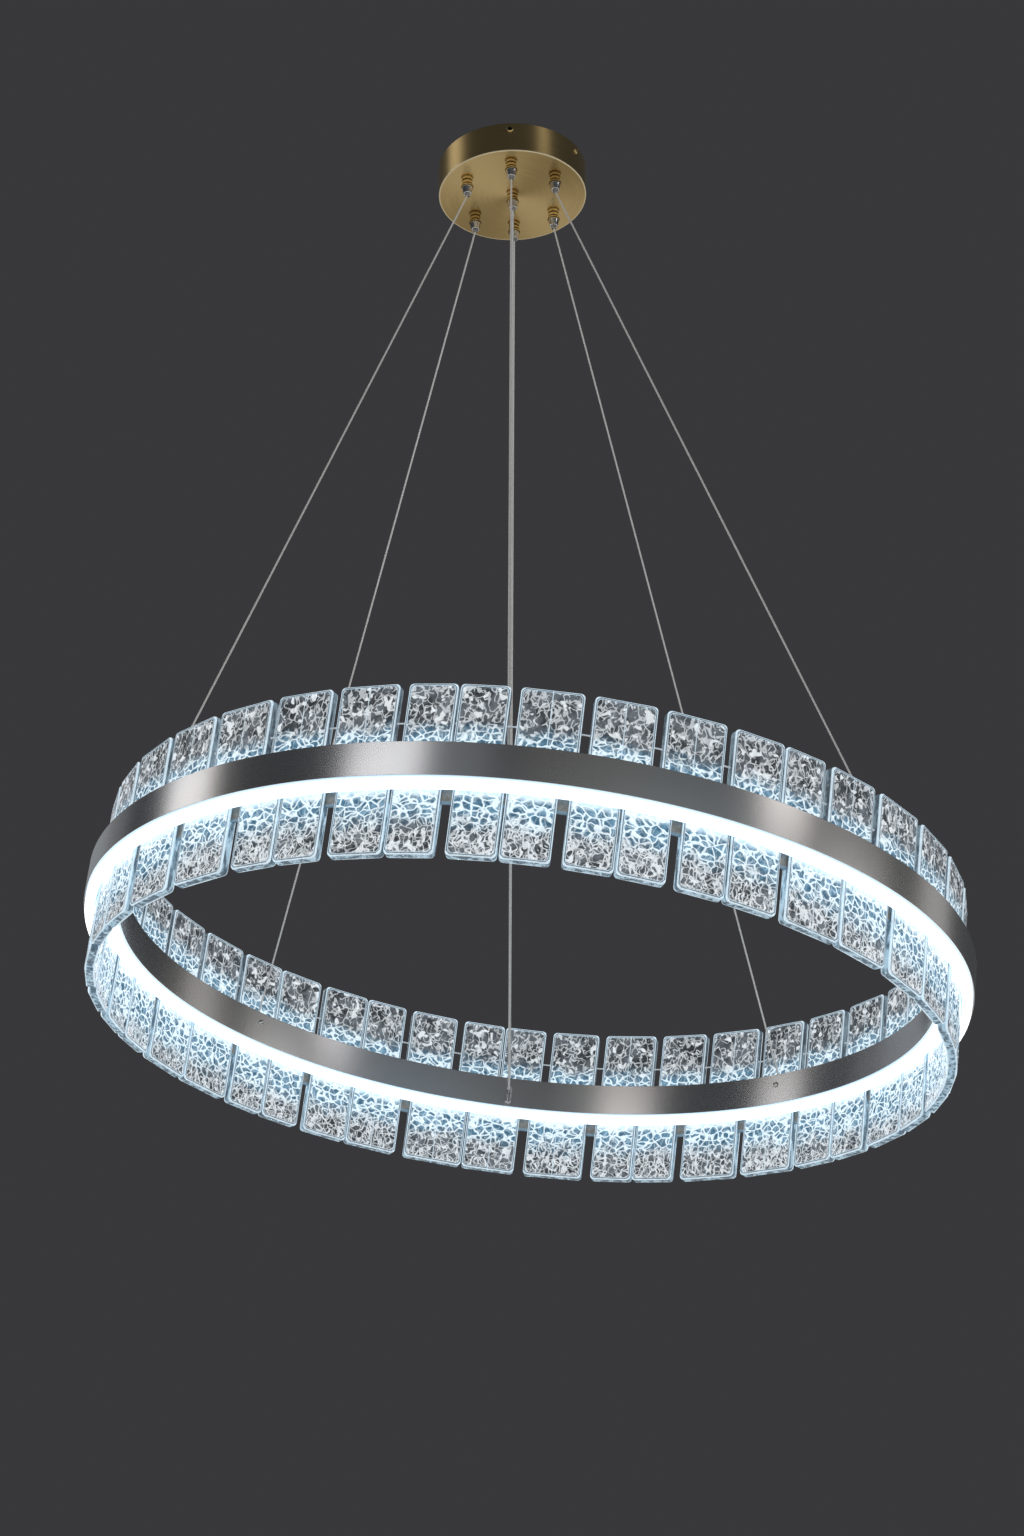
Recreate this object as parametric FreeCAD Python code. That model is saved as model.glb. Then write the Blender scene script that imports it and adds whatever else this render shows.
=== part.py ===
import FreeCAD, Part
import itertools
import math
import os

# Ring chandelier on six steel cables. Lengths in millimetres, angles in degrees.
# Origin: centre of the face that lies against the ceiling. +Z up, -Y faces the room.

# Ceiling canopy: a spun brass cup screwed to a round steel mounting plate
CANOPY_DIAMETER = 150.0
CANOPY_HEIGHT = 34.0
CANOPY_WALL = 1.2
CANOPY_EDGE = 0.6  # bright bevel round the lower edge
PLATE_THICKNESS = 2.0
PLATE_CLEARANCE = 0.4  # between the plate's tabs and the cup's wall
WIRE_HOLE_DIAMETER = 20.0
CEILING_HOLE_DIAMETER = 5.2
CEILING_HOLE_SPACING = 80.0
TAB_WIDTH = 14.0
TAB_HEIGHT = 14.0
SIDE_SCREW_ANGLES = (-90.0, -30.0, 90.0, 150.0)
SIDE_SCREW_DEPTH = 8.0  # below the ceiling
SIDE_SCREW_DIAMETER = 4.0
SIDE_SCREW_LENGTH = 7.0
SIDE_SCREW_HEAD = 7.0
SIDE_SCREW_HEAD_HEIGHT = 1.6

# What the canopy holds
DRIVER_SIZE = (96.0, 38.0, 19.0)
DRIVER_OFFSET_Y = -31.0
TERMINAL_SIZE = (34.0, 16.0, 13.0)
TERMINAL_OFFSET_Y = 30.0
TERMINAL_POLES = 3
TERMINAL_PORT_SIZE = 4.0
TERMINAL_PORT_DEPTH = 8.0

# Cable grippers under the canopy: brass collar, nickel housing, push-in release nose
GRIPPER_CIRCLE_RADIUS = 52.0
GRIPPER_ANGLES = (-150.0, -90.0, -33.0, 38.0, 90.0, 139.0)
COLLAR_DIAMETER = 10.8
COLLAR_HEIGHT = 5.0
RIM_DIAMETER = 12.6
RIM_HEIGHT = 2.5
STUD_DIAMETER = 8.0
STUD_RISE = 8.0
NUT_ACROSS_FLATS = 13.0
NUT_HEIGHT = 4.0
HOUSING_TOP_DIAMETER = 11.6
HOUSING_TIP_DIAMETER = 8.4
HOUSING_HEIGHT = 8.0
NOSE_DIAMETER = 5.0
NOSE_SHOWING = 2.8
NOSE_INSIDE = 3.0
NOSE_TRAVEL = 2.0
NOSE_END_ROOM = 0.8  # left above the nose when it is pressed home
MOUTH_DEPTH = 2.4
MOUTH_RADIUS = 2.0
MOUTH_THROAT_RADIUS = 1.2

# Suspension
CABLE_DIAMETER = 1.8
POWER_CORD_DIAMETER = 2.2
CABLE_TUCK = 1.2  # how far an upper end reaches into the nose
DROP = 859.0  # from the canopy's lower face to the ring's lower rim, at the centre
SIDE_TILT = 7.4  # the ring hangs lower on its +X side
FRONT_TILT = 1.7  # and a little lower at the front
ANCHOR_ANGLES = (-155.0, -91.0, -26.0, 50.5, 94.5, 137.0)
POWER_INLET_ANGLE = 94.5

# Ring: two polished bands, joined by webs to a central rail
RING_DIAMETER = 800.0
RING_WIDTH = 32.0
BAND_HEIGHT = 30.0
BAND_WALL = 1.5
WEB_LEVEL = 9.0  # underside of the webs above the lower rim
WEB_THICKNESS = 3.0
RAIL_THICKNESS = 2.5
RAIL_RISE = 15.0  # above the webs
RAIL_DROP = 18.0  # below the lower rim

# Light: rigid boards under the webs, opal bars below them
BOARDS_PER_SIDE = 36
BOARD_WIDTH = 5.0
BOARD_THICKNESS = 1.2
BOARD_SPACING = 2.0
DIFFUSER_RISE = 6.0  # inside the band
DIFFUSER_DROP = 8.0  # below the band
DIFFUSER_BEVEL = 2.0
SEAT_GAP = 0.3

# Cast glass tiles, slotted over the rail. Widths by letter, side by side in one word.
TILE_WIDTHS = {"N": 41.0, "M": 46.5, "W": 52.0, "B": 58.0}
TILE_THICKNESS = 9.0
TILE_CORNER = 3.5
PAIR_GAP = 1.6
LEAST_GROUP_GAP = 4.0
UPPER_TILE_RISE = 58.0  # above the upper rim
LOWER_TILE_HEAD = 1.0  # top edge, below the lower rim
LOWER_TILE_DROP = 64.0  # bottom edge, below the lower rim
UPPER_ROW = (
    (-178.0, "W W W B B B"),
    (-122.4, "W W NN W W W"),
    (-64.3, "MN W B B B B"),
    (-2.0, "W W NN W M M"),
    (55.2, "W M W M NN M NM"),
    (125.6, "MM W W W M M"),
)
LOWER_ROW = (
    (-178.0, "MM MM B B NN"),
    (-112.3, "MN NN NN NM"),
    (-55.4, "BB BB WM"),
    (-2.0, "WW WB MM B"),
    (57.5, "B NN B WB WM"),
    (126.3, "NN BB MM W"),
)
LINK_HEIGHT = 1.4
LINK_THICKNESS = 1.6
LINK_RISE = 23.0  # above the upper rim

# Cable anchors on the inner web, each held by a screw through the inner band
ANCHOR_WIDTH = 9.0
ANCHOR_HEIGHT = 14.0
ANCHOR_TILE_GAP = 0.6
ANCHOR_MOUTH_RADIUS = 2.5
ANCHOR_MOUTH_DEPTH = 3.2
ANCHOR_THROAT_RADIUS = 1.5
ANCHOR_LIP = 0.4  # between the mouth and the anchor's edge
CABLE_END_DEPTH = 2.0
ANCHOR_SCREW_LEVEL = 19.5
ANCHOR_SCREW_DIAMETER = 3.0
ANCHOR_SCREW_REACH = 5.0
ANCHOR_SCREW_HEAD = 5.8
ANCHOR_SCREW_HEAD_HEIGHT = 1.9
HOLE_CLEARANCE = 0.2

# Power inlet on the inner face of the inner band, under an anchor screw
INLET_DIAMETER = 6.4
INLET_HEIGHT = 13.0
INLET_LEVEL = 2.0
INLET_STUB_DIAMETER = 4.0
INLET_STUB_RISE = 3.5  # the stub passes below the web
INLET_BEVEL = 1.4

# Round parts under 13 mm across are drawn with this many flats
SMALL_PART_SIDES = 12

# Worked out from the sizes above
ORIGIN = FreeCAD.Vector(0, 0, 0)
X_AXIS = FreeCAD.Vector(1, 0, 0)
Y_AXIS = FreeCAD.Vector(0, 1, 0)
Z_AXIS = FreeCAD.Vector(0, 0, 1)
CANOPY_RADIUS = CANOPY_DIAMETER / 2
CANOPY_FACE = -CANOPY_HEIGHT
CUP_INSIDE = CANOPY_RADIUS - CANOPY_WALL
OUTER_RADIUS = RING_DIAMETER / 2
INNER_RADIUS = OUTER_RADIUS - RING_WIDTH
MID_RADIUS = OUTER_RADIUS - RING_WIDTH / 2
WEB_TOP = WEB_LEVEL + WEB_THICKNESS
HALF_RAIL = RAIL_THICKNESS / 2
WIDEST_TILE = max(TILE_WIDTHS.values())
TILE_BOW = WIDEST_TILE**2 / (8 * MID_RADIUS)  # the rail bends this far along a tile
HALF_TILE_ROOM = (TILE_THICKNESS + TILE_BOW) / 2
SLOT_WIDTH = RAIL_THICKNESS + TILE_BOW + 2 * SEAT_GAP
BOARD_OFFSET = (HALF_TILE_ROOM + RING_WIDTH / 2 - BAND_WALL) / 2  # from the rail's middle
RIM_BOTTOM = CANOPY_FACE - COLLAR_HEIGHT - RIM_HEIGHT
HOUSING_BOTTOM = RIM_BOTTOM - HOUSING_HEIGHT
NOSE_BOTTOM = HOUSING_BOTTOM - NOSE_SHOWING
ANCHOR_TOP = WEB_TOP + ANCHOR_HEIGHT
ANCHOR_OUTSIDE = MID_RADIUS - HALF_TILE_ROOM - ANCHOR_TILE_GAP
ANCHOR_INSIDE = INNER_RADIUS + BAND_WALL + SEAT_GAP
ANCHOR_MOUTH_PLACE = ANCHOR_OUTSIDE - ANCHOR_LIP - ANCHOR_MOUTH_RADIUS
INLET_PLACE = INNER_RADIUS - SEAT_GAP - INLET_DIAMETER / 2
RING_PLACEMENT = FreeCAD.Placement(
    FreeCAD.Vector(0, 0, CANOPY_FACE - DROP),
    FreeCAD.Rotation(Y_AXIS, SIDE_TILT).multiply(FreeCAD.Rotation(X_AXIS, FRONT_TILT)),
)


def cylinder(diameter, height, base, axis=Z_AXIS):
    return Part.makeCylinder(diameter / 2, height, base, axis)


def revolved(profile):
    """A solid of revolution about Z from (radius, height) corners."""
    corners = [FreeCAD.Vector(radius, 0, height) for radius, height in profile]
    outline = Part.makePolygon(corners + corners[:1])
    return Part.Face(outline).revolve(ORIGIN, Z_AXIS, 360)


def small_turned(profile):
    """A small turned part, drawn with flats, from (radius, height) steps upward."""
    turn = 360.0 / SMALL_PART_SIDES
    rings = [
        [on_circle(radius, turn * side, height) for side in range(SMALL_PART_SIDES)]
        for radius, height in profile
    ]
    outlines = [rings[0], rings[-1]]
    for lower, upper in zip(rings, rings[1:]):
        for side in range(SMALL_PART_SIDES):
            outlines.append([lower[side - 1], lower[side], upper[side], upper[side - 1]])
    faces = [Part.Face(Part.makePolygon(outline + outline[:1])) for outline in outlines]
    return Part.Solid(Part.Shell(faces)).removeSplitter()


def pin(diameter, length, start=0.0):
    """A small round pin or drill that rises from a height."""
    return small_turned([(diameter / 2, start), (diameter / 2, start + length)])


def turned(shape, angle):
    """A copy turned about the Z axis."""
    copy = shape.copy()
    copy.rotate(ORIGIN, Z_AXIS, angle)
    return copy


def at(shape, place):
    return shape.copy().translate(place)


def along_x(shape, place):
    """A copy of an upright part, laid to point along +X from a place."""
    copy = shape.copy()
    copy.rotate(ORIGIN, Y_AXIS, 90)
    return copy.translate(place)


def around(shape, angles):
    return [turned(shape, angle) for angle in angles]


def block(radial, tangential, height, centre_radius, bottom):
    """A box that stands on +X at a radius, with its width across the radius."""
    corner = FreeCAD.Vector(centre_radius - radial / 2, -tangential / 2, bottom)
    return Part.makeBox(radial, tangential, height, corner)


def on_circle(radius, angle, height):
    turn = math.radians(angle)
    return FreeCAD.Vector(radius * math.cos(turn), radius * math.sin(turn), height)


def cut_all(shape, tools):
    return shape.cut(Part.makeCompound(tools))


def screw(shank, length, head, head_height):
    """A pan-headed screw whose shank rises from the origin, with its head below."""
    return small_turned(
        [
            (head / 2 - head_height / 2, -head_height),
            (head / 2, 0),
            (shank / 2, 0),
            (shank / 2, length),
        ]
    )


def export(name, shapes):
    solids = Part.makeCompound(shapes) if isinstance(shapes, list) else shapes
    solids.exportStep("parts/" + name + ".step")


def export_on_ring(name, shapes):
    """Ring pieces are made level about Z and then hung in the ring's place."""
    solids = Part.makeCompound(shapes if isinstance(shapes, list) else [shapes])
    solids.Placement = RING_PLACEMENT
    solids.exportStep("parts/" + name + ".step")


# ---------------------------------------------------------------- ceiling canopy


def canopy_cup():
    """Spun cup, open upward, drilled for the grippers, the gland and the side screws."""
    cup = revolved(
        [
            (0, CANOPY_FACE),
            (CANOPY_RADIUS - CANOPY_EDGE, CANOPY_FACE),
            (CANOPY_RADIUS, CANOPY_FACE + CANOPY_EDGE),
            (CANOPY_RADIUS, 0),
            (CUP_INSIDE, 0),
            (CUP_INSIDE, CANOPY_FACE + CANOPY_WALL),
            (0, CANOPY_FACE + CANOPY_WALL),
        ]
    )
    stud_drill = pin(STUD_DIAMETER + HOLE_CLEARANCE, 3 * CANOPY_WALL, -CANOPY_WALL)
    screw_drill = along_x(
        pin(SIDE_SCREW_DIAMETER + HOLE_CLEARANCE, 3 * CANOPY_WALL),
        FreeCAD.Vector(CUP_INSIDE - CANOPY_WALL, 0, -SIDE_SCREW_DEPTH),
    )
    drills = [at(stud_drill, place) for place in fitting_places()]
    return cut_all(cup, drills + around(screw_drill, SIDE_SCREW_ANGLES))


def fitting_places():
    """The six grippers' seats on the canopy's lower face, then the central gland's."""
    grippers = [on_circle(GRIPPER_CIRCLE_RADIUS, angle, CANOPY_FACE) for angle in GRIPPER_ANGLES]
    return grippers + [FreeCAD.Vector(0, 0, CANOPY_FACE)]


def mounting_plate():
    """Round plate with a wire hole, two ceiling holes and down-turned threaded tabs."""
    radius = CUP_INSIDE - PLATE_CLEARANCE
    plate = cylinder(2 * radius, PLATE_THICKNESS, FreeCAD.Vector(0, 0, -PLATE_THICKNESS))
    tab = Part.makeBox(
        PLATE_THICKNESS,
        TAB_WIDTH,
        TAB_HEIGHT,
        FreeCAD.Vector(tab_outside() - PLATE_THICKNESS, -TAB_WIDTH / 2, -TAB_HEIGHT),
    )
    thread = along_x(
        pin(SIDE_SCREW_DIAMETER + HOLE_CLEARANCE, 3 * PLATE_THICKNESS),
        FreeCAD.Vector(tab_outside() - 2 * PLATE_THICKNESS, 0, -SIDE_SCREW_DEPTH),
    )
    depth = FreeCAD.Vector(0, 0, -2 * PLATE_THICKNESS)
    drills = [cylinder(WIRE_HOLE_DIAMETER, 3 * PLATE_THICKNESS, depth)]
    for side in (-1, 1):
        place = depth + X_AXIS * side * CEILING_HOLE_SPACING / 2
        drills.append(cylinder(CEILING_HOLE_DIAMETER, 3 * PLATE_THICKNESS, place))
    body = plate.fuse(around(tab, SIDE_SCREW_ANGLES)).removeSplitter()
    return cut_all(body, drills + around(thread, SIDE_SCREW_ANGLES))


def tab_outside():
    """Flat outer face of a tab whose corners stay clear of the cup's round wall."""
    radius = CUP_INSIDE - PLATE_CLEARANCE
    return math.sqrt(radius**2 - (TAB_WIDTH / 2) ** 2)


def side_screws():
    """They point inward through the cup's wall into the plate's tabs."""
    body = screw(SIDE_SCREW_DIAMETER, SIDE_SCREW_LENGTH, SIDE_SCREW_HEAD, SIDE_SCREW_HEAD_HEIGHT)
    head_seat = CANOPY_RADIUS + HOLE_CLEARANCE / 2
    inward = along_x(body, FreeCAD.Vector(-head_seat, 0, -SIDE_SCREW_DEPTH))
    return around(turned(inward, 180), SIDE_SCREW_ANGLES)


def led_driver():
    length, width, height = DRIVER_SIZE
    corner = FreeCAD.Vector(-length / 2, DRIVER_OFFSET_Y - width / 2, -PLATE_THICKNESS - height)
    return Part.makeBox(length, width, height, corner)


def terminal_block():
    """Insulated block with a row of wire ports toward the canopy's middle."""
    length, width, height = TERMINAL_SIZE
    front = TERMINAL_OFFSET_Y - width / 2
    corner = FreeCAD.Vector(-length / 2, front, -PLATE_THICKNESS - height)
    body = Part.makeBox(length, width, height, corner)
    pitch = length / TERMINAL_POLES
    port = Part.makeBox(TERMINAL_PORT_SIZE, TERMINAL_PORT_DEPTH, TERMINAL_PORT_SIZE)
    centre = FreeCAD.Vector(
        (pitch - TERMINAL_PORT_SIZE) / 2, 0, (height - TERMINAL_PORT_SIZE) / 2
    )
    places = [corner + centre + X_AXIS * pitch * pole for pole in range(TERMINAL_POLES)]
    return cut_all(body, [at(port, place) for place in places])


# ---------------------------------------------------------------- cable grippers


def collar():
    """Brass collar with its rim below and its threaded stud above, at the origin's seat."""
    rim_taper = (RIM_DIAMETER - COLLAR_DIAMETER) / 2
    return small_turned(
        [
            (RIM_DIAMETER / 2, -COLLAR_HEIGHT - RIM_HEIGHT),
            (RIM_DIAMETER / 2, -COLLAR_HEIGHT - rim_taper / 2),
            (COLLAR_DIAMETER / 2, -COLLAR_HEIGHT + rim_taper / 2),
            (COLLAR_DIAMETER / 2, 0),
            (STUD_DIAMETER / 2, 0),
            (STUD_DIAMETER / 2, STUD_RISE),
        ]
    )


def lock_nut():
    corner_radius = NUT_ACROSS_FLATS / math.sqrt(3)
    corners = [on_circle(corner_radius, 60 * side, CANOPY_WALL) for side in range(7)]
    nut = Part.Face(Part.makePolygon(corners)).extrude(Z_AXIS * NUT_HEIGHT)
    return nut.cut(pin(STUD_DIAMETER + HOLE_CLEARANCE, 2 * NUT_HEIGHT))


def housing():
    """Tapered nickel housing, bored from below for the release nose."""
    top = -COLLAR_HEIGHT - RIM_HEIGHT
    tip = top - HOUSING_HEIGHT
    body = small_turned([(HOUSING_TIP_DIAMETER / 2, tip), (HOUSING_TOP_DIAMETER / 2, top)])
    bore_depth = NOSE_INSIDE + NOSE_TRAVEL + NOSE_END_ROOM
    return body.cut(pin(NOSE_DIAMETER + 2 * HOLE_CLEARANCE, 1 + bore_depth, tip - 1))


def release_nose():
    """Short plunger with a flared mouth, through which the cable leaves the gripper."""
    bottom = NOSE_BOTTOM - CANOPY_FACE
    mouth = small_turned([(MOUTH_RADIUS, bottom), (MOUTH_THROAT_RADIUS, bottom + MOUTH_DEPTH)])
    return pin(NOSE_DIAMETER, NOSE_SHOWING + NOSE_INSIDE, bottom).cut(mouth)


# ---------------------------------------------------------------- ring


def outer_band():
    wall = OUTER_RADIUS - BAND_WALL
    return revolved([(wall, 0), (OUTER_RADIUS, 0), (OUTER_RADIUS, BAND_HEIGHT), (wall, BAND_HEIGHT)])


def inner_band():
    """Drilled for the anchor screws and for the power inlet's stub."""
    wall = INNER_RADIUS + BAND_WALL
    band = revolved([(INNER_RADIUS, 0), (wall, 0), (wall, BAND_HEIGHT), (INNER_RADIUS, BAND_HEIGHT)])
    start = FreeCAD.Vector(INNER_RADIUS - BAND_WALL, 0, 0)
    screw_drill = along_x(
        pin(ANCHOR_SCREW_DIAMETER + 2 * HOLE_CLEARANCE, 4 * BAND_WALL),
        start + Z_AXIS * ANCHOR_SCREW_LEVEL,
    )
    inlet_drill = along_x(
        pin(INLET_STUB_DIAMETER + 2 * HOLE_CLEARANCE, 4 * BAND_WALL),
        start + Z_AXIS * (INLET_LEVEL + INLET_STUB_RISE),
    )
    return cut_all(
        band, around(screw_drill, ANCHOR_ANGLES) + [turned(inlet_drill, POWER_INLET_ANGLE)]
    )


def web(inside, outside):
    return revolved([(inside, WEB_LEVEL), (outside, WEB_LEVEL), (outside, WEB_TOP), (inside, WEB_TOP)])


def tile_rail():
    """Upright strip that passes between the two webs and carries both tile rows."""
    inside = MID_RADIUS - HALF_RAIL
    outside = MID_RADIUS + HALF_RAIL
    top = WEB_TOP + RAIL_RISE
    return revolved([(inside, -RAIL_DROP), (outside, -RAIL_DROP), (outside, top), (inside, top)])


def led_boards(radius):
    """Straight rigid boards in a ring, stuck to the underside of a web."""
    pitch = 360.0 / BOARDS_PER_SIDE
    length = 2 * radius * math.tan(math.radians(pitch / 2)) - BOARD_SPACING
    board = block(BOARD_WIDTH, length, BOARD_THICKNESS, radius, WEB_LEVEL - BOARD_THICKNESS)
    return around(board, [pitch * count for count in range(BOARDS_PER_SIDE)])


def diffuser(side):
    """Opal bar between a band and the tiles: side is 1 outside the tiles, -1 inside."""
    near_tiles = HALF_TILE_ROOM + SEAT_GAP
    near_band = RING_WIDTH / 2 - BAND_WALL - SEAT_GAP
    profile = [
        (near_tiles, -DIFFUSER_DROP),
        (near_band - DIFFUSER_BEVEL, -DIFFUSER_DROP),
        (near_band, -DIFFUSER_DROP + DIFFUSER_BEVEL),
        (near_band, DIFFUSER_RISE),
        (near_tiles, DIFFUSER_RISE),
    ]
    return revolved([(MID_RADIUS + side * offset, height) for offset, height in profile])


# ---------------------------------------------------------------- glass tiles


def slotted_tile(width, seat, free_edge, slot_depth):
    """A flat slab on +X whose slotted edge is at seat and whose bevelled one is free_edge."""
    up = 1 if free_edge > seat else -1
    bow = width**2 / (8 * MID_RADIUS)
    middle = MID_RADIUS - bow / 2
    half = width / 2
    outline = [
        (-half, seat),
        (half, seat),
        (half, free_edge - up * TILE_CORNER),
        (half - TILE_CORNER, free_edge),
        (-half + TILE_CORNER, free_edge),
        (-half, free_edge - up * TILE_CORNER),
    ]
    back = middle - TILE_THICKNESS / 2
    corners = [FreeCAD.Vector(back, across, height) for across, height in outline]
    slab = Part.Face(Part.makePolygon(corners + corners[:1])).extrude(X_AXIS * TILE_THICKNESS)
    slot_start = min(seat, seat + up * slot_depth) - (1 if up > 0 else 0)
    slot = block(SLOT_WIDTH, width + 2, slot_depth + 1, middle, slot_start)
    return slab.cut(slot)


def upper_tile(width):
    seat = WEB_TOP + SEAT_GAP
    return slotted_tile(width, seat, BAND_HEIGHT + UPPER_TILE_RISE, RAIL_RISE)


def lower_tile(width):
    slot_depth = RAIL_DROP - LOWER_TILE_HEAD + SEAT_GAP
    return slotted_tile(width, -LOWER_TILE_HEAD, -LOWER_TILE_DROP, slot_depth)


def span(width):
    """Angle that a tile of this width takes up along the rail."""
    return 2 * math.degrees(math.atan(width / 2 / MID_RADIUS))


def arc(length):
    return math.degrees(length / MID_RADIUS)


def group_span(group):
    tiles = sum(span(TILE_WIDTHS[letter]) for letter in group)
    return tiles + arc(PAIR_GAP) * (len(group) - 1)


def sector_tiles(start, end, layout):
    """(middle angle, width) of each tile; the groups are spread evenly over the sector."""
    groups = []
    used = 0.0
    for group in itertools.cycle(layout.split()):
        used += group_span(group) + arc(LEAST_GROUP_GAP)
        if used > end - start:
            break
        groups.append(group)
    gap = (end - start - sum(group_span(group) for group in groups)) / max(len(groups), 1)
    tiles = []
    angle = start + gap / 2
    for group in groups:
        for letter in group:
            width = TILE_WIDTHS[letter]
            tiles.append((angle + span(width) / 2, width))
            angle += span(width) + arc(PAIR_GAP)
        angle += gap - arc(PAIR_GAP)
    return tiles


def row_sectors(row):
    """The tiles of each sector of a row, in order round the ring."""
    starts = [start for start, layout in row]
    ends = starts[1:] + [starts[0] + 360.0]
    return [sector_tiles(start, end, layout) for (start, layout), end in zip(row, ends)]


def tile_links():
    """Short flat links that join each upper tile to the next one."""
    tiles = [tile for sector in row_sectors(UPPER_ROW) for tile in sector]
    links = []
    for number, (angle, width) in enumerate(tiles):
        next_angle, next_width = tiles[(number + 1) % len(tiles)]
        turn = (next_angle - angle) % 360.0
        start = on_circle(MID_RADIUS, angle + span(width) / 2, BAND_HEIGHT + LINK_RISE)
        end = on_circle(MID_RADIUS, angle + turn - span(next_width) / 2, BAND_HEIGHT + LINK_RISE)
        length = (end - start).Length - 2 * SEAT_GAP
        middle = angle + turn / 2 + (span(width) - span(next_width)) / 4
        link = block(LINK_THICKNESS, length, LINK_HEIGHT, MID_RADIUS, BAND_HEIGHT + LINK_RISE)
        links.append(turned(link, middle))
    return links


# ---------------------------------------------------------------- cables and their ends


def cable_anchor():
    """Block on the inner web with a flared mouth for the cable and a screw hole behind."""
    depth = ANCHOR_OUTSIDE - ANCHOR_INSIDE
    body = block(depth, ANCHOR_WIDTH, ANCHOR_HEIGHT, ANCHOR_INSIDE + depth / 2, WEB_TOP)
    mouth = small_turned(
        [(ANCHOR_THROAT_RADIUS, ANCHOR_TOP - ANCHOR_MOUTH_DEPTH), (ANCHOR_MOUTH_RADIUS, ANCHOR_TOP)]
    )
    thread = along_x(
        pin(ANCHOR_SCREW_DIAMETER + HOLE_CLEARANCE, 1 + ANCHOR_SCREW_REACH),
        FreeCAD.Vector(ANCHOR_INSIDE - 1, 0, ANCHOR_SCREW_LEVEL),
    )
    return cut_all(body, [at(mouth, X_AXIS * ANCHOR_MOUTH_PLACE), thread])


def anchor_screw():
    seat = INNER_RADIUS - HOLE_CLEARANCE / 4
    length = ANCHOR_INSIDE + ANCHOR_SCREW_REACH - HOLE_CLEARANCE - seat
    body = screw(ANCHOR_SCREW_DIAMETER, length, ANCHOR_SCREW_HEAD, ANCHOR_SCREW_HEAD_HEIGHT)
    return along_x(body, FreeCAD.Vector(seat, 0, ANCHOR_SCREW_LEVEL))


def power_inlet():
    """Upright barrel with a flared mouth and a stub that passes through the band."""
    top = INLET_LEVEL + INLET_HEIGHT
    barrel = small_turned(
        [
            (INLET_DIAMETER / 2 - INLET_BEVEL, INLET_LEVEL),
            (INLET_DIAMETER / 2, INLET_LEVEL + INLET_BEVEL),
            (INLET_DIAMETER / 2, top),
        ]
    )
    mouth = small_turned([(ANCHOR_THROAT_RADIUS, top - ANCHOR_MOUTH_DEPTH), (ANCHOR_MOUTH_RADIUS, top)])
    stub = along_x(
        pin(INLET_STUB_DIAMETER, INNER_RADIUS + BAND_WALL - INLET_PLACE),
        Z_AXIS * (INLET_LEVEL + INLET_STUB_RISE),
    )
    body = barrel.cut(mouth).fuse(stub)
    return turned(at(body, X_AXIS * INLET_PLACE), POWER_INLET_ANGLE)


def straight_cable(diameter, top, bottom):
    """A taut cable is one straight run from its gripper to its anchor."""
    run = bottom - top
    cable = pin(diameter, run.Length)
    cable.Placement = FreeCAD.Placement(top, FreeCAD.Rotation(Z_AXIS, run))
    return cable


def cable_ends(number):
    top = on_circle(GRIPPER_CIRCLE_RADIUS, GRIPPER_ANGLES[number], NOSE_BOTTOM + CABLE_TUCK)
    seat = on_circle(ANCHOR_MOUTH_PLACE, ANCHOR_ANGLES[number], ANCHOR_TOP - CABLE_END_DEPTH)
    return top, RING_PLACEMENT.multVec(seat)


def power_cord_ends():
    top = FreeCAD.Vector(0, 0, NOSE_BOTTOM + CABLE_TUCK)
    level = INLET_LEVEL + INLET_HEIGHT - CABLE_END_DEPTH
    return top, RING_PLACEMENT.multVec(on_circle(INLET_PLACE, POWER_INLET_ANGLE, level))


# ---------------------------------------------------------------- write every piece

os.makedirs("parts", exist_ok=True)

export("canopy_cup", canopy_cup())
export("mounting_plate", mounting_plate())
export("side_screws", side_screws())
export("led_driver", led_driver())
export("terminal_block", terminal_block())

seats = fitting_places()
export("gripper_collars", [at(collar(), seat) for seat in seats[:-1]])
export("gripper_nuts", [at(lock_nut(), seat) for seat in seats])
export("gripper_housings", [at(housing(), seat) for seat in seats[:-1]])
export("gland_collar", at(collar(), seats[-1]))
export("gland_housing", at(housing(), seats[-1]))
export("gland_bush", at(release_nose(), seats[-1]))
for number, seat in enumerate(seats[:-1], 1):
    export("release_nose_" + str(number), at(release_nose(), seat))

export_on_ring("outer_band", outer_band())
export_on_ring("inner_band", inner_band())
export_on_ring("outer_web", web(MID_RADIUS + HALF_RAIL, OUTER_RADIUS - BAND_WALL))
export_on_ring("inner_web", web(INNER_RADIUS + BAND_WALL, MID_RADIUS - HALF_RAIL))
export_on_ring("tile_rail", tile_rail())
export_on_ring("outer_led_boards", led_boards(MID_RADIUS + BOARD_OFFSET))
export_on_ring("inner_led_boards", led_boards(MID_RADIUS - BOARD_OFFSET))
export_on_ring("outer_diffuser", diffuser(1))
export_on_ring("inner_diffuser", diffuser(-1))
for number, tiles in enumerate(row_sectors(UPPER_ROW), 1):
    placed = [turned(upper_tile(width), angle) for angle, width in tiles]
    export_on_ring("upper_tiles_" + str(number), placed)
for number, tiles in enumerate(row_sectors(LOWER_ROW), 1):
    placed = [turned(lower_tile(width), angle) for angle, width in tiles]
    export_on_ring("lower_tiles_" + str(number), placed)
export_on_ring("tile_links", tile_links())
export_on_ring("cable_anchors", around(cable_anchor(), ANCHOR_ANGLES))
export_on_ring("anchor_screws", around(anchor_screw(), ANCHOR_ANGLES))
export_on_ring("power_inlet", power_inlet())

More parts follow.
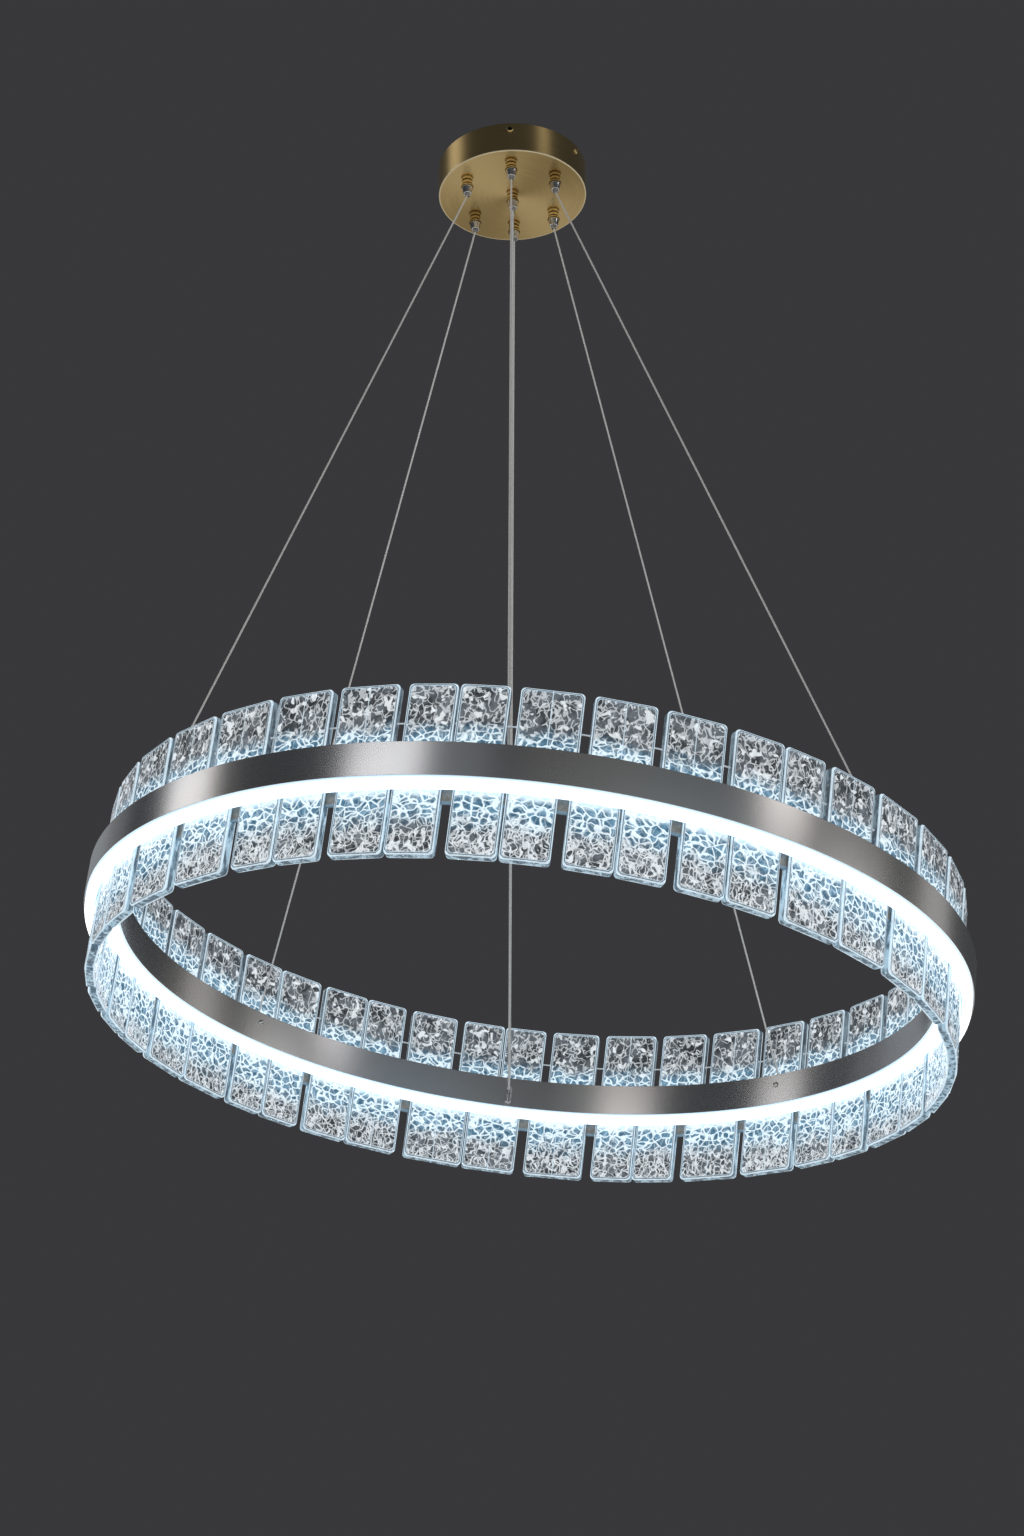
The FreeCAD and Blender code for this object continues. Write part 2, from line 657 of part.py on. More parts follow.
for number in range(len(GRIPPER_ANGLES)):
    top, bottom = cable_ends(number)
    export("cable_" + str(number + 1), straight_cable(CABLE_DIAMETER, top, bottom))
    print("cable", number + 1, "length", round((bottom - top).Length, 1))
top, bottom = power_cord_ends()
export("power_cord", straight_cable(POWER_CORD_DIAMETER, top, bottom))
print("power cord length", round((bottom - top).Length, 1))
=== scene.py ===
import itertools
import math

import bmesh
import bpy
from mathutils import Matrix, Vector, noise


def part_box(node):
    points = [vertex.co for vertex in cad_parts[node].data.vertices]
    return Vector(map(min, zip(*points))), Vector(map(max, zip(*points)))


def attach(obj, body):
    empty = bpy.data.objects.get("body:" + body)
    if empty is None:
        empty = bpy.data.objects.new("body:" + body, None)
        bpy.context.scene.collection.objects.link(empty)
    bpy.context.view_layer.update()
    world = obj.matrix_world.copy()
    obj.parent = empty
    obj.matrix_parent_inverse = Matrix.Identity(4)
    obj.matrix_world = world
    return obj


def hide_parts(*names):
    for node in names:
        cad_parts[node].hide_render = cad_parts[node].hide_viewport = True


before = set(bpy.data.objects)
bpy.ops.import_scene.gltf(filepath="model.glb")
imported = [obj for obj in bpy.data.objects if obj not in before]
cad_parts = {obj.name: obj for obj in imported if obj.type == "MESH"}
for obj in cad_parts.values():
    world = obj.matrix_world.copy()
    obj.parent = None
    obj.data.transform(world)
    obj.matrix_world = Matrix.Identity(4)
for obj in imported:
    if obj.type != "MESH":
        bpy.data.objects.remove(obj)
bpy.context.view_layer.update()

# ------------------------ room and camera
# The lamp hangs from the ceiling of a plain room with a pale floor and is seen from below,
# nearly straight in front. Sizes are in millimetres unless a name says metres, and the scene
# itself is in metres.

CAMERA_PLACE_METRES = (0.04715, -2.74886, -2.10908)
CAMERA_TURN = (117.333, 0.8042, 1.6017)
CAMERA_LENS = 78.27
FLOOR_LEVEL_METRES = -2.6
FLOOR_SIZE_METRES = 24.0
FLOOR_SQUARES = 8
FLOOR_PATCH_SCALE = 0.7
FLOOR_GREY = (0.78, 0.77, 0.75, 1.0)
FLOOR_PATCH_GREY = (0.84, 0.83, 0.81, 1.0)
ROOM_LIGHT = (0.5, 0.5, 0.5, 1.0)
BACKDROP_GREY = (0.040, 0.040, 0.043, 1.0)
MIRRORED_GREY = (0.046, 0.050, 0.056, 1.0)
SOFT_BOX_CENTRE_METRES = (0, 0, -0.9)
# Soft boxes: azimuth and elevation in degrees, distance, width and height in metres, brightness
# and colour. They stand round the point above and face it.
SOFT_BOXES = (
    (-176.4, 28.6, 2.0, 0.50, 0.20, 1.90, (1.0, 0.99, 0.98)),
    (-120.2, 22.8, 2.0, 0.58, 0.22, 2.10, (1.0, 0.99, 0.98)),
    (-26.5, 19.8, 3.9, 0.80, 0.60, 2.10, (1.0, 0.98, 0.97)),
    (-8.0, 8.6, 3.2, 1.20, 0.40, 1.90, (0.97, 0.99, 1.0)),
    (27.2, 9.5, 3.2, 1.85, 0.42, 0.62, (0.97, 0.99, 1.0)),
    (25.5, 17.3, 2.8, 0.70, 0.40, 0.42, (0.98, 0.99, 1.0)),
    (121.0, 29.1, 2.9, 1.30, 0.50, 0.28, (0.92, 0.97, 1.0)),
    (143.2, 28.0, 2.6, 0.69, 0.40, 0.16, (1.0, 0.99, 0.98)),
    (-103.9, 21.0, 2.8, 0.66, 0.35, 0.20, (0.88, 0.96, 1.0)),
    (-72.0, 8.0, 3.4, 5.00, 1.00, 0.42, (0.80, 0.93, 1.0)),
    (-75.0, 25.0, 3.4, 1.60, 0.50, 0.05, (1.0, 0.70, 0.45)),
    (172.0, 46.3, 4.9, 1.65, 1.55, 0.90, (1.0, 0.97, 0.92)),
    (-38.0, 46.3, 4.9, 0.90, 1.25, 0.80, (1.0, 0.97, 0.92)),
)


class Signal:
    """A value on its way through a material. Expressions on it add Math nodes."""

    def __init__(self, tree, socket=None):
        self.tree = tree
        self.socket = socket

    def fill(self, node, inputs):
        for name, value in inputs.items():
            if isinstance(value, Signal):
                self.tree.links.new(value.socket, node.inputs[name])
            else:
                node.inputs[name].default_value = value

    def node(self, kind, settings=None, inputs=None, output=0):
        """A node of any kind: first its settings, then the values or links of its sockets."""
        made = self.tree.nodes.new("ShaderNode" + kind)
        for name, value in (settings or {}).items():
            setattr(made, name, value)
        self.fill(made, inputs or {})
        return Signal(self.tree, made.outputs[output])

    def maths(self, operation, *others):
        """A Math node of this value and the others, in that order."""
        return self.node("Math", {"operation": operation}, dict(enumerate((self, *others))))

    def __add__(self, other):
        return self.maths("ADD", other)

    def __sub__(self, other):
        return self.maths("SUBTRACT", other)

    def __rsub__(self, other):
        return self.node("Math", {"operation": "SUBTRACT"}, {0: other, 1: self})

    def __mul__(self, other):
        return self.maths("MULTIPLY", other)

    def __truediv__(self, other):
        return self.maths("DIVIDE", other)

    def __rtruediv__(self, other):
        return self.node("Math", {"operation": "DIVIDE"}, {0: other, 1: self})

    def __pow__(self, other):
        return self.maths("POWER", other)

    def __abs__(self):
        return self.maths("ABSOLUTE")

    __radd__ = __add__
    __rmul__ = __mul__


def mixed(factor, first, second):
    """The colour between two colours."""
    return factor.node("Mix", {"data_type": "RGBA"}, {0: factor, 6: first, 7: second}, 2)


def rising(value, low, high):
    """0 below low, 1 above high, smooth between them."""
    inputs = {"Value": value, "From Min": low, "From Max": high}
    return value.node("MapRange", {"interpolation_type": "SMOOTHSTEP"}, inputs)


def cloud(place, scale, detail):
    """Soft random pattern about a half, with patches of 1 / scale metres."""
    return place.node("TexNoise", {}, {"Vector": place, "Scale": scale, "Detail": detail})


def two_toned(pattern, first, second, spread=0.15):
    """The first colour where a pattern is under a half, the second where it is over."""
    return mixed(rising(pattern, 0.5 - spread, 0.5 + spread), first, second)


def surface_place(start):
    """The place on the piece, in metres."""
    return start.node("TexCoord", output="Object")


def finish(name, paint):
    """A material whose paint function gives the shader's sockets, fixed or varying."""
    made = bpy.data.materials.new(name)
    made.use_nodes = True
    start = Signal(made.node_tree)
    start.fill(made.node_tree.nodes["Principled BSDF"], paint(start))
    return made


def floor_paint(start):
    patches = cloud(surface_place(start), FLOOR_PATCH_SCALE, 4.0)
    return {
        "Base Color": two_toned(patches, FLOOR_GREY, FLOOR_PATCH_GREY),
        "Roughness": 0.75,
    }


def linked_object(name, data):
    made = bpy.data.objects.new(name, data)
    bpy.context.scene.collection.objects.link(made)
    return made


camera = linked_object("camera", bpy.data.cameras.new("camera"))
camera.location = CAMERA_PLACE_METRES
camera.rotation_euler = [math.radians(angle) for angle in CAMERA_TURN]
camera.data.lens = CAMERA_LENS
bpy.context.scene.camera = camera
bpy.context.scene.view_settings.view_transform = "Standard"

floor_mesh = bpy.data.meshes.new("floor")
form = bmesh.new()
bmesh.ops.create_grid(
    form,
    x_segments=FLOOR_SQUARES,
    y_segments=FLOOR_SQUARES,
    size=FLOOR_SIZE_METRES / 2,
    matrix=Matrix.Translation((0, 0, FLOOR_LEVEL_METRES)),
)
form.to_mesh(floor_mesh)
form.free()
floor_mesh.materials.append(finish("pale_floor", floor_paint))
linked_object("floor", floor_mesh)

world = bpy.data.worlds.new("room")
world.use_nodes = True
bpy.context.scene.world = world
start = Signal(world.node_tree)
looked_at = start.node("LightPath", output="Is Camera Ray")
looked_through = start.node("LightPath", output="Is Transmission Ray")
seen = looked_at.maths("MAXIMUM", looked_through)
mirrored = start.node("LightPath", output="Is Glossy Ray")
room_colour = mixed(seen, mixed(mirrored, ROOM_LIGHT, MIRRORED_GREY), BACKDROP_GREY)
start.fill(world.node_tree.nodes["Background"], {"Color": room_colour})

for number, soft_box in enumerate(SOFT_BOXES, 1):
    azimuth, elevation, distance, width, height, glow, colour = soft_box
    lamp = bpy.data.lights.new("soft_box_" + str(number), "AREA")
    lamp.shape = "RECTANGLE"
    lamp.size = width
    lamp.size_y = height
    lamp.energy = glow * width * height * math.pi
    lamp.color = colour
    box = linked_object(lamp.name, lamp)
    flat = math.cos(math.radians(elevation))
    direction = Vector(
        (
            math.cos(math.radians(azimuth)) * flat,
            math.sin(math.radians(azimuth)) * flat,
            math.sin(math.radians(elevation)),
        )
    )
    box.location = Vector(SOFT_BOX_CENTRE_METRES) + direction * distance
    box.rotation_euler = direction.to_track_quat("Z", "Y").to_euler()
    box.visible_camera = False

# ------------------------ suspension cables
# Six taut cables of stranded steel, 1.8 mm thick, run from the release noses under the
# canopy to anchors inside the ring. The ring hangs lower on its right side, so no two
# cables are equally long.

MM = 0.001
CABLE_DIAMETER = 1.8
CABLE_TUCK = 1.2
CABLE_GREY = (0.80, 0.78, 0.76, 1.0)
CABLE_SHINE = (0.90, 0.88, 0.86, 1.0)
STRAND_PITCH = 2.4
GRIPPER_CIRCLE_RADIUS = 52.0
GRIPPER_ANGLES = (-150.0, -90.0, -33.0, 38.0, 90.0, 139.0)
ANCHOR_ANGLES = (-155.0, -91.0, -26.0, 50.5, 94.5, 137.0)
RING_DROP = 893.0
SIDE_TILT = 7.4
FRONT_TILT = 1.7
RING_RADIUS = 400.0
RING_WIDTH = 32.0
MID_RADIUS = RING_RADIUS - RING_WIDTH / 2
WEB_TOP = 12.0
ANCHOR_HEIGHT = 14.0
CABLE_END_DEPTH = 2.0
TILE_THICKNESS = 9.0
WIDEST_TILE = 58.0
# The rail bends this far along the widest tile
TILE_BOW = WIDEST_TILE**2 / (8 * MID_RADIUS)
HALF_TILE_ROOM = (TILE_THICKNESS + TILE_BOW) / 2
ANCHOR_TILE_GAP = 0.6
ANCHOR_LIP = 0.4
ANCHOR_MOUTH_RADIUS = 2.5
ANCHOR_OUTSIDE = MID_RADIUS - HALF_TILE_ROOM - ANCHOR_TILE_GAP
ANCHOR_MOUTH_PLACE = ANCHOR_OUTSIDE - ANCHOR_LIP - ANCHOR_MOUTH_RADIUS
RING_PLACE = (
    Matrix.Translation((0, 0, -RING_DROP))
    @ Matrix.Rotation(math.radians(SIDE_TILT), 4, "Y")
    @ Matrix.Rotation(math.radians(FRONT_TILT), 4, "X")
)
NOSE_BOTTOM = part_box("release_nose_1")[0].z / MM


def on_circle(radius, angle, height):
    """The point at this radius, angle and height about the Z axis."""
    turn = math.radians(angle)
    return Vector((radius * math.cos(turn), radius * math.sin(turn), height))


def split(place):
    """The three coordinates of a place."""
    return [place.node("SeparateXYZ", {}, {"Vector": place}, axis) for axis in "XYZ"]


def cable_paint(start):
    place = surface_place(start)
    turn = split(place)[2] * (math.tau / (STRAND_PITCH * MM))
    strands = rising(turn.maths("SINE"), -0.6, 0.8)
    return {
        "Base Color": mixed(strands, CABLE_GREY, CABLE_SHINE),
        "Metallic": 0.45,
        "Roughness": 0.32,
    }


def taut_line(name, top, bottom, diameter, paint_finish, body):
    """A straight cord between two points in millimetres."""
    curve = bpy.data.curves.new(name, "CURVE")
    curve.dimensions = "3D"
    curve.bevel_depth = diameter / 2 * MM
    curve.bevel_resolution = 4
    curve.use_fill_caps = True
    route = curve.splines.new("NURBS")
    route.points.add(2)
    for point, along in zip(route.points, (0.0, 0.5, 1.0)):
        point.co = (*(top.lerp(bottom, along) * MM), 1.0)
    route.order_u = 3
    route.use_endpoint_u = True
    curve.materials.append(paint_finish)
    line = linked_object(name, curve)
    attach(line, body)
    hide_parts(body)


cable_finish = finish("stranded_steel", cable_paint)
for number, (gripper_angle, anchor_angle) in enumerate(zip(GRIPPER_ANGLES, ANCHOR_ANGLES), 1):
    top = on_circle(GRIPPER_CIRCLE_RADIUS, gripper_angle, NOSE_BOTTOM + CABLE_TUCK)
    seat = on_circle(ANCHOR_MOUTH_PLACE, anchor_angle, WEB_TOP + ANCHOR_HEIGHT - CABLE_END_DEPTH)
    taut_line(
        "suspension_" + str(number),
        top,
        RING_PLACE @ seat,
        CABLE_DIAMETER,
        cable_finish,
        "cable_" + str(number),
    )

# ------------------------ power cord
# The low-voltage cord leaves the central gland and runs straight to the inlet on the far
# side of the ring: fine tinned wire in a clear plastic sleeve, 2.2 mm thick.

CORD_DIAMETER = 2.2
CORD_BRAID = (0.62, 0.61, 0.60, 1.0)
CORD_SLEEVE = (0.86, 0.85, 0.83, 1.0)
INLET_ANGLE = 94.5
INLET_RADIUS = 3.2
INNER_RADIUS = RING_RADIUS - RING_WIDTH
SEAT_GAP = 0.3
INLET_PLACE = INNER_RADIUS - SEAT_GAP - INLET_RADIUS
INLET_LEVEL = 2.0
INLET_HEIGHT = 13.0
BRAID_SCALE = 1400.0


def bumped(height, strength, distance_metres):
    """The surface's direction on a relief of this height."""
    inputs = {"Height": height, "Strength": strength, "Distance": distance_metres}
    return height.node("Bump", {}, inputs)


def cord_paint(start):
    braid = cloud(surface_place(start), BRAID_SCALE, 1.0)
    return {
        "Base Color": two_toned(braid, CORD_BRAID, CORD_SLEEVE),
        "Metallic": 0.55,
        "Roughness": 0.28,
        "Coat Weight": 0.6,
        "Normal": bumped(braid, 0.25, 0.0001),
    }


inlet_seat = on_circle(INLET_PLACE, INLET_ANGLE, INLET_LEVEL + INLET_HEIGHT - CABLE_END_DEPTH)
taut_line(
    "power_lead",
    Vector((0, 0, NOSE_BOTTOM + CABLE_TUCK)),
    RING_PLACE @ inlet_seat,
    CORD_DIAMETER,
    finish("clear_sleeved_braid", cord_paint),
    "power_cord",
)

# ------------------------ canopy cup
# A cup spun from brass sheet 1.2 mm thick, brushed in circles on its face and round its
# side, with a rolled edge between them. The edge carries a painted highlight and the face
# two painted highlight fans. It hides the driver and carries the grippers.

CUP_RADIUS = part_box("canopy_cup")[1].x / MM
CUP_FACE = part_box("canopy_cup")[0].z / MM
CUP_WALL = 1.2
CUP_EDGE = 1.5
CUP_STEPS = 192
BRASS_DEEP = (0.38, 0.265, 0.105, 1.0)
BRASS_BRIGHT = (0.78, 0.58, 0.27, 1.0)
BRASS_EDGE_HIGHLIGHT = (0.95, 0.80, 0.52, 1.0)
BRUSH_LINES_PER_MM = 2.2
BRUSH_BREAKS = 1.5
DRIFT_SCALE = 9.0
# Where the face's brushing and the painted highlight on the rolled edge start and stop fading
FACE_END = (0.2, 0.6)
EDGE_HIGHLIGHT_INWARD = (1.2, 1.7)
EDGE_HIGHLIGHT_UPWARD = (1.0, 1.3)
HIGHLIGHT_FAN_AZIMUTH = math.radians(48)
HIGHLIGHT_FAN_SHARE = 0.26
SMOOTH_TURN = math.radians(32)
MERGE_DISTANCE = 0.0005
IN_MM = 1 / MM


def spun(outline, steps):
    """A form turned about Z from a closed (radius, height) outline."""
    form = bmesh.new()
    corners = [form.verts.new((radius, 0, height)) for radius, height in outline]
    edges = [
        form.edges.new(pair)
        for pair in zip(corners, corners[1:] + corners[:1])
        if pair[0].co.x or pair[1].co.x
    ]
    bmesh.ops.spin(
        form,
        geom=corners + edges,
        axis=(0, 0, 1),
        angle=math.tau,
        steps=steps,
        use_merge=True,
    )
    bmesh.ops.remove_doubles(form, verts=form.verts, dist=MERGE_DISTANCE)
    bmesh.ops.recalc_face_normals(form, faces=form.faces)
    return form


def bevelled(form, edges, width, segments):
    """Rounds the given edges."""
    bmesh.ops.bevel(
        form,
        geom=edges,
        offset=width,
        segments=segments,
        profile=0.5,
        affect="EDGES",
        material=-1,
    )


def eased(form, width, segments):
    """Rounds every edge that turns sharply."""
    sharp = [edge for edge in form.edges if edge.calc_face_angle(0) > SMOOTH_TURN]
    bevelled(form, sharp, width, segments)
    return form


def piece(name, form, surface, body, slot, *nodes):
    """Hands a form, made in millimetres, to its body as a finished piece."""
    for edge in form.edges:
        edge.smooth = edge.calc_face_angle(math.pi) < SMOOTH_TURN
    for face in form.faces:
        face.smooth = True
    bmesh.ops.scale(form, vec=(MM, MM, MM), verts=form.verts)
    mesh = bpy.data.meshes.new(name)
    form.to_mesh(mesh)
    form.free()
    mesh.materials.append(surface)
    made = linked_object(name, mesh)
    made.modifiers.new("flat faces stay flat", "WEIGHTED_NORMAL").keep_sharp = True
    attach(made, body)
    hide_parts(*nodes)


def falling(value, low, high):
    """1 below low, 0 above high, smooth between them."""
    return 1.0 - rising(value, low, high)


def out_from_axis(x, y):
    """Distance from the Z axis."""
    return (x * x + y * y) ** 0.5


def brushed_brass_paint(start):
    """Brass with fine lines round the Z axis, two painted highlight fans on its face and a painted
    highlight on its rolled edge.
    """
    place = surface_place(start)
    x, y, z = split(place)
    radius = out_from_axis(x, y)
    around = y.maths("ARCTAN2", x)
    lines_per_metre = BRUSH_LINES_PER_MM / MM
    unrolled = {"X": radius * lines_per_metre, "Y": around * BRUSH_BREAKS, "Z": z * lines_per_metre}
    lines = cloud(place.node("CombineXYZ", {}, unrolled), 1.0, 3.0)
    up = z * IN_MM - CUP_FACE
    from_side = CUP_RADIUS - radius * IN_MM
    on_face = falling(up, *FACE_END)
    # Two painted highlight fans across the face.
    painted_fans = (around * 2.0 - 2 * HIGHLIGHT_FAN_AZIMUTH).maths("COSINE") * on_face
    drift = cloud(place, DRIFT_SCALE, 1.0) - 0.5
    tone = rising(lines * 0.5 + painted_fans * HIGHLIGHT_FAN_SHARE + drift * 0.5 + 0.25, 0.1, 0.9)
    # A painted highlight along the rolled edge.
    edge = falling(from_side, *EDGE_HIGHLIGHT_INWARD) * falling(up, *EDGE_HIGHLIGHT_UPWARD)
    return {
        "Base Color": mixed(edge, mixed(tone, BRASS_DEEP, BRASS_BRIGHT), BRASS_EDGE_HIGHLIGHT),
        "Metallic": 1.0,
        "Roughness": 0.28 + lines * 0.08 - on_face * 0.12,
        "Normal": bumped(lines, 0.15, 0.0002),
    }


cup_outline = [
    (0, CUP_FACE),
    (CUP_RADIUS, CUP_FACE),
    (CUP_RADIUS, 0),
    (CUP_RADIUS - CUP_WALL, 0),
    (CUP_RADIUS - CUP_WALL, CUP_FACE + CUP_WALL),
    (0, CUP_FACE + CUP_WALL),
]
brushed_brass = finish("brushed_brass", brushed_brass_paint)
cup = eased(spun(cup_outline, CUP_STEPS), CUP_EDGE / 2, 3)
piece("canopy", cup, brushed_brass, "canopy", "brushed_brass", "canopy_cup")

# ------------------------ mounting plate
# A round plate of zinc-plated steel, pressed and drilled, screwed to the ceiling. Its four
# tabs take the side screws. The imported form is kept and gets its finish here.

ZINC_DARK = (0.36, 0.37, 0.38, 1.0)
ZINC_LIGHT = (0.60, 0.61, 0.62, 1.0)
CRYSTAL_SCALE = 160.0


def zinc_paint(start):
    inputs = {"Vector": surface_place(start), "Scale": CRYSTAL_SCALE}
    crystals = start.node("TexVoronoi", {}, inputs, "Color")
    grey = start.node("RGBToBW", {}, {"Color": crystals})
    return {
        "Base Color": mixed(grey, ZINC_DARK, ZINC_LIGHT),
        "Metallic": 1.0,
        "Roughness": 0.38 + grey * 0.12,
    }


def dress(node, surface):
    """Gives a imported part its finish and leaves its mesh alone."""
    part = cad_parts[node]
    for slot in part.material_slots:
        slot.material = surface


dress("mounting_plate", finish("zinc_plate", zinc_paint))

# ------------------------ driver and terminal
# The driver is a moulded box that feeds the light boards, and the terminal block beside it
# takes the mains. Both sit under the plate, out of sight in the cup.

CASE_WHITE = (0.80, 0.80, 0.79, 1.0)
CASE_SHADE = (0.70, 0.70, 0.69, 1.0)
TERMINAL_IVORY = (0.86, 0.84, 0.76, 1.0)
TERMINAL_SHADE = (0.76, 0.74, 0.66, 1.0)
MOULD_GRAIN_SCALE = 1800.0


def moulded(shade, colour):
    """Moulded plastic with a fine spark-eroded grain."""

    def paint(start):
        grain = cloud(surface_place(start), MOULD_GRAIN_SCALE, 2.0)
        return {
            "Base Color": two_toned(grain, shade, colour, 0.2),
            "Roughness": 0.5,
            "Normal": bumped(grain, 0.15, 0.0001),
        }

    return paint


dress("led_driver", finish("driver_case", moulded(CASE_SHADE, CASE_WHITE)))
dress("terminal_block", finish("terminal_body", moulded(TERMINAL_SHADE, TERMINAL_IVORY)))

# ------------------------ side screws
# Four brass button-head screws with a hexagon socket hold the cup to the plate's tabs.
# They are turned; their tone wanders a little, and their sockets carry painted shade.

SCREW_ANGLES = (-90.0, -30.0, 90.0, 150.0)
SCREW_LEVEL = -8.0
SCREW_HEAD_RADIUS = 3.5
SCREW_HEAD_HEIGHT = 1.6
SCREW_SHANK_RADIUS = 2.0
SCREW_LENGTH = 7.0
SOCKET_RADIUS = 2.2
SOCKET_DEPTH = 1.2
# From and to which distance outside the socket's wall its painted shade fades
SOCKET_SHADE_END = (-0.15, 0.05)
# The head's dome, in shares of the head's radius and height
DOME = ((1.0, 0.15), (0.93, 0.62), (0.72, 1.0))
SCREW_STEPS = 36
TURNED_EDGE = 0.12
SCREW_PLAY = 0.1
TONE_PATCH_SCALE = 350.0
SCREW_DEEP = (0.62, 0.45, 0.20, 1.0)
SCREW_BRIGHT = (0.92, 0.74, 0.42, 1.0)
PAINTED_SHADE_DARK = (0.012, 0.009, 0.006, 1.0)


def turned(angle):
    """A turn about the Z axis, in degrees."""
    return Matrix.Rotation(math.radians(angle), 4, "Z")


def button_screw(head_radius, head_height, shank_radius, length, socket_radius):
    """A screw along +Z with its head's underside at the origin and its head below."""
    dome = [(head_radius * out, -head_height * down) for out, down in DOME]
    outline = [
        (0, -head_height + SOCKET_DEPTH),
        (socket_radius, -head_height + SOCKET_DEPTH),
        (socket_radius, -head_height),
        *reversed(dome),
        (head_radius, 0),
        (shank_radius, 0),
        (shank_radius, length),
        (0, length),
    ]
    return eased(spun(outline, SCREW_STEPS), TURNED_EDGE, 2)


def repeated(form, places):
    """A copy of the form at each place; a UV map keeps each point's radius and height."""
    profile = form.loops.layers.uv.new("profile")
    for face in form.faces:
        for loop in face.loops:
            x, y, z = loop.vert.co
            loop[profile].uv = (math.hypot(x, y) * MM, z * MM)
    pattern = bpy.data.meshes.new("pattern")
    form.to_mesh(pattern)
    form.free()
    whole = bmesh.new()
    for place in places:
        first = len(whole.verts)
        whole.from_mesh(pattern)
        whole.verts.ensure_lookup_table()
        bmesh.ops.transform(whole, matrix=place, verts=whole.verts[first:])
    bpy.data.meshes.remove(pattern)
    return whole


def metal(deep, bright, roughness):
    """Bare metal whose tone wanders a little from place to place."""

    def paint(start):
        tone = cloud(surface_place(start), TONE_PATCH_SCALE, 3.0)
        return {
            "Base Color": two_toned(tone, deep, bright),
            "Metallic": 1.0,
            "Roughness": roughness * 0.8 + tone * (roughness * 0.4),
        }

    return paint


def with_painted_shade(paint, darkness):
    """The same metal with painted shade, darkened where darkness(radius, height) in millimetres is
    1.
    """

    def darker(start):
        sockets = paint(start)
        radius, height = split(start.node("UVMap", {"uv_map": "profile"}))[:2]
        shade = darkness(radius * IN_MM, height * IN_MM)
        sockets["Base Color"] = mixed(shade, sockets["Base Color"], PAINTED_SHADE_DARK)
        return sockets

    return darker


# Painted shade inside the hexagon socket.
def socket_painted_shade(radius, height):
    return falling(radius - SOCKET_RADIUS, *SOCKET_SHADE_END)


inward = Matrix.Rotation(math.radians(-90), 4, "Y")
screw_seat = Matrix.Translation((CUP_RADIUS + SCREW_PLAY, 0, SCREW_LEVEL)) @ inward
screws = repeated(
    button_screw(
        SCREW_HEAD_RADIUS,
        SCREW_HEAD_HEIGHT,
        SCREW_SHANK_RADIUS,
        SCREW_LENGTH,
        SOCKET_RADIUS,
    ),
    [turned(angle) @ screw_seat for angle in SCREW_ANGLES],
)
screw_finish = finish("brass_with_painted_socket_shade", with_painted_shade(metal(SCREW_DEEP, SCREW_BRIGHT, 0.2), socket_painted_shade))
piece("button_screws", screws, screw_finish, "canopy", "screw_brass", "side_screws")

# ------------------------ gripper collars
# Each gripper starts in a polished brass collar, turned with a wider rim at its foot. Its
# stud passes through the cup, where a lock nut holds it. The central gland has the same.

COLLAR_RADIUS = 5.4
COLLAR_HEIGHT = 5.0
RIM_RADIUS = 6.3
RIM_HEIGHT = 2.5
RIM_CHAMFER = 0.5
RIM_SLOPE = 0.6
RIM_STEP = 0.2
GROOVE_DEPTH = 0.4
GROOVE_LOW = 0.3
GROOVE_HIGH = 0.8
GROOVE_FLARE = 0.3
COLLAR_FOOT = -COLLAR_HEIGHT - RIM_HEIGHT
STUD_RADIUS = 4.0
STUD_RISE = 8.0
SMALL_STEPS = 48
# Where shade is painted on a collar: its level, how far it reaches and how dark it is
COLLAR_PAINTED_SHADE = (
    (COLLAR_FOOT + RIM_HEIGHT + 0.6, 0.9, 1.0),
    (COLLAR_FOOT, 0.6, 1.0),
    (0.0, 1.4, 0.8),
)
POLISHED_DEEP = (0.78, 0.60, 0.31, 1.0)
POLISHED_BRIGHT = (0.98, 0.84, 0.56, 1.0)
NUT_DARK = (0.42, 0.42, 0.43, 1.0)
NUT_LIGHT = (0.62, 0.62, 0.63, 1.0)


def collar_form():
    rim_top = COLLAR_FOOT + RIM_HEIGHT
    outline = [
        (0, COLLAR_FOOT),
        (RIM_RADIUS - RIM_CHAMFER, COLLAR_FOOT),
        (RIM_RADIUS, COLLAR_FOOT + RIM_CHAMFER),
        (RIM_RADIUS, rim_top - RIM_SLOPE),
        (COLLAR_RADIUS + RIM_STEP, rim_top),
        (COLLAR_RADIUS - GROOVE_DEPTH, rim_top + GROOVE_LOW),
        (COLLAR_RADIUS - GROOVE_DEPTH, rim_top + GROOVE_HIGH),
        (COLLAR_RADIUS, rim_top + GROOVE_HIGH + GROOVE_FLARE),
        (COLLAR_RADIUS, 0),
        (STUD_RADIUS, 0),
        (STUD_RADIUS, STUD_RISE),
        (0, STUD_RISE),
    ]
    return eased(spun(outline, SMALL_STEPS), TURNED_EDGE, 2)


def collar_painted_shade(radius, height):
    """Painted shade in the groove, at the joint with the housing and against the cup."""
    in_groove, at_joint, at_top = [
        falling(abs(height - level), reach * 0.6, reach) * dark
        for level, reach, dark in COLLAR_PAINTED_SHADE
    ]
    return in_groove.maths("MAXIMUM", at_joint).maths("MAXIMUM", at_top)


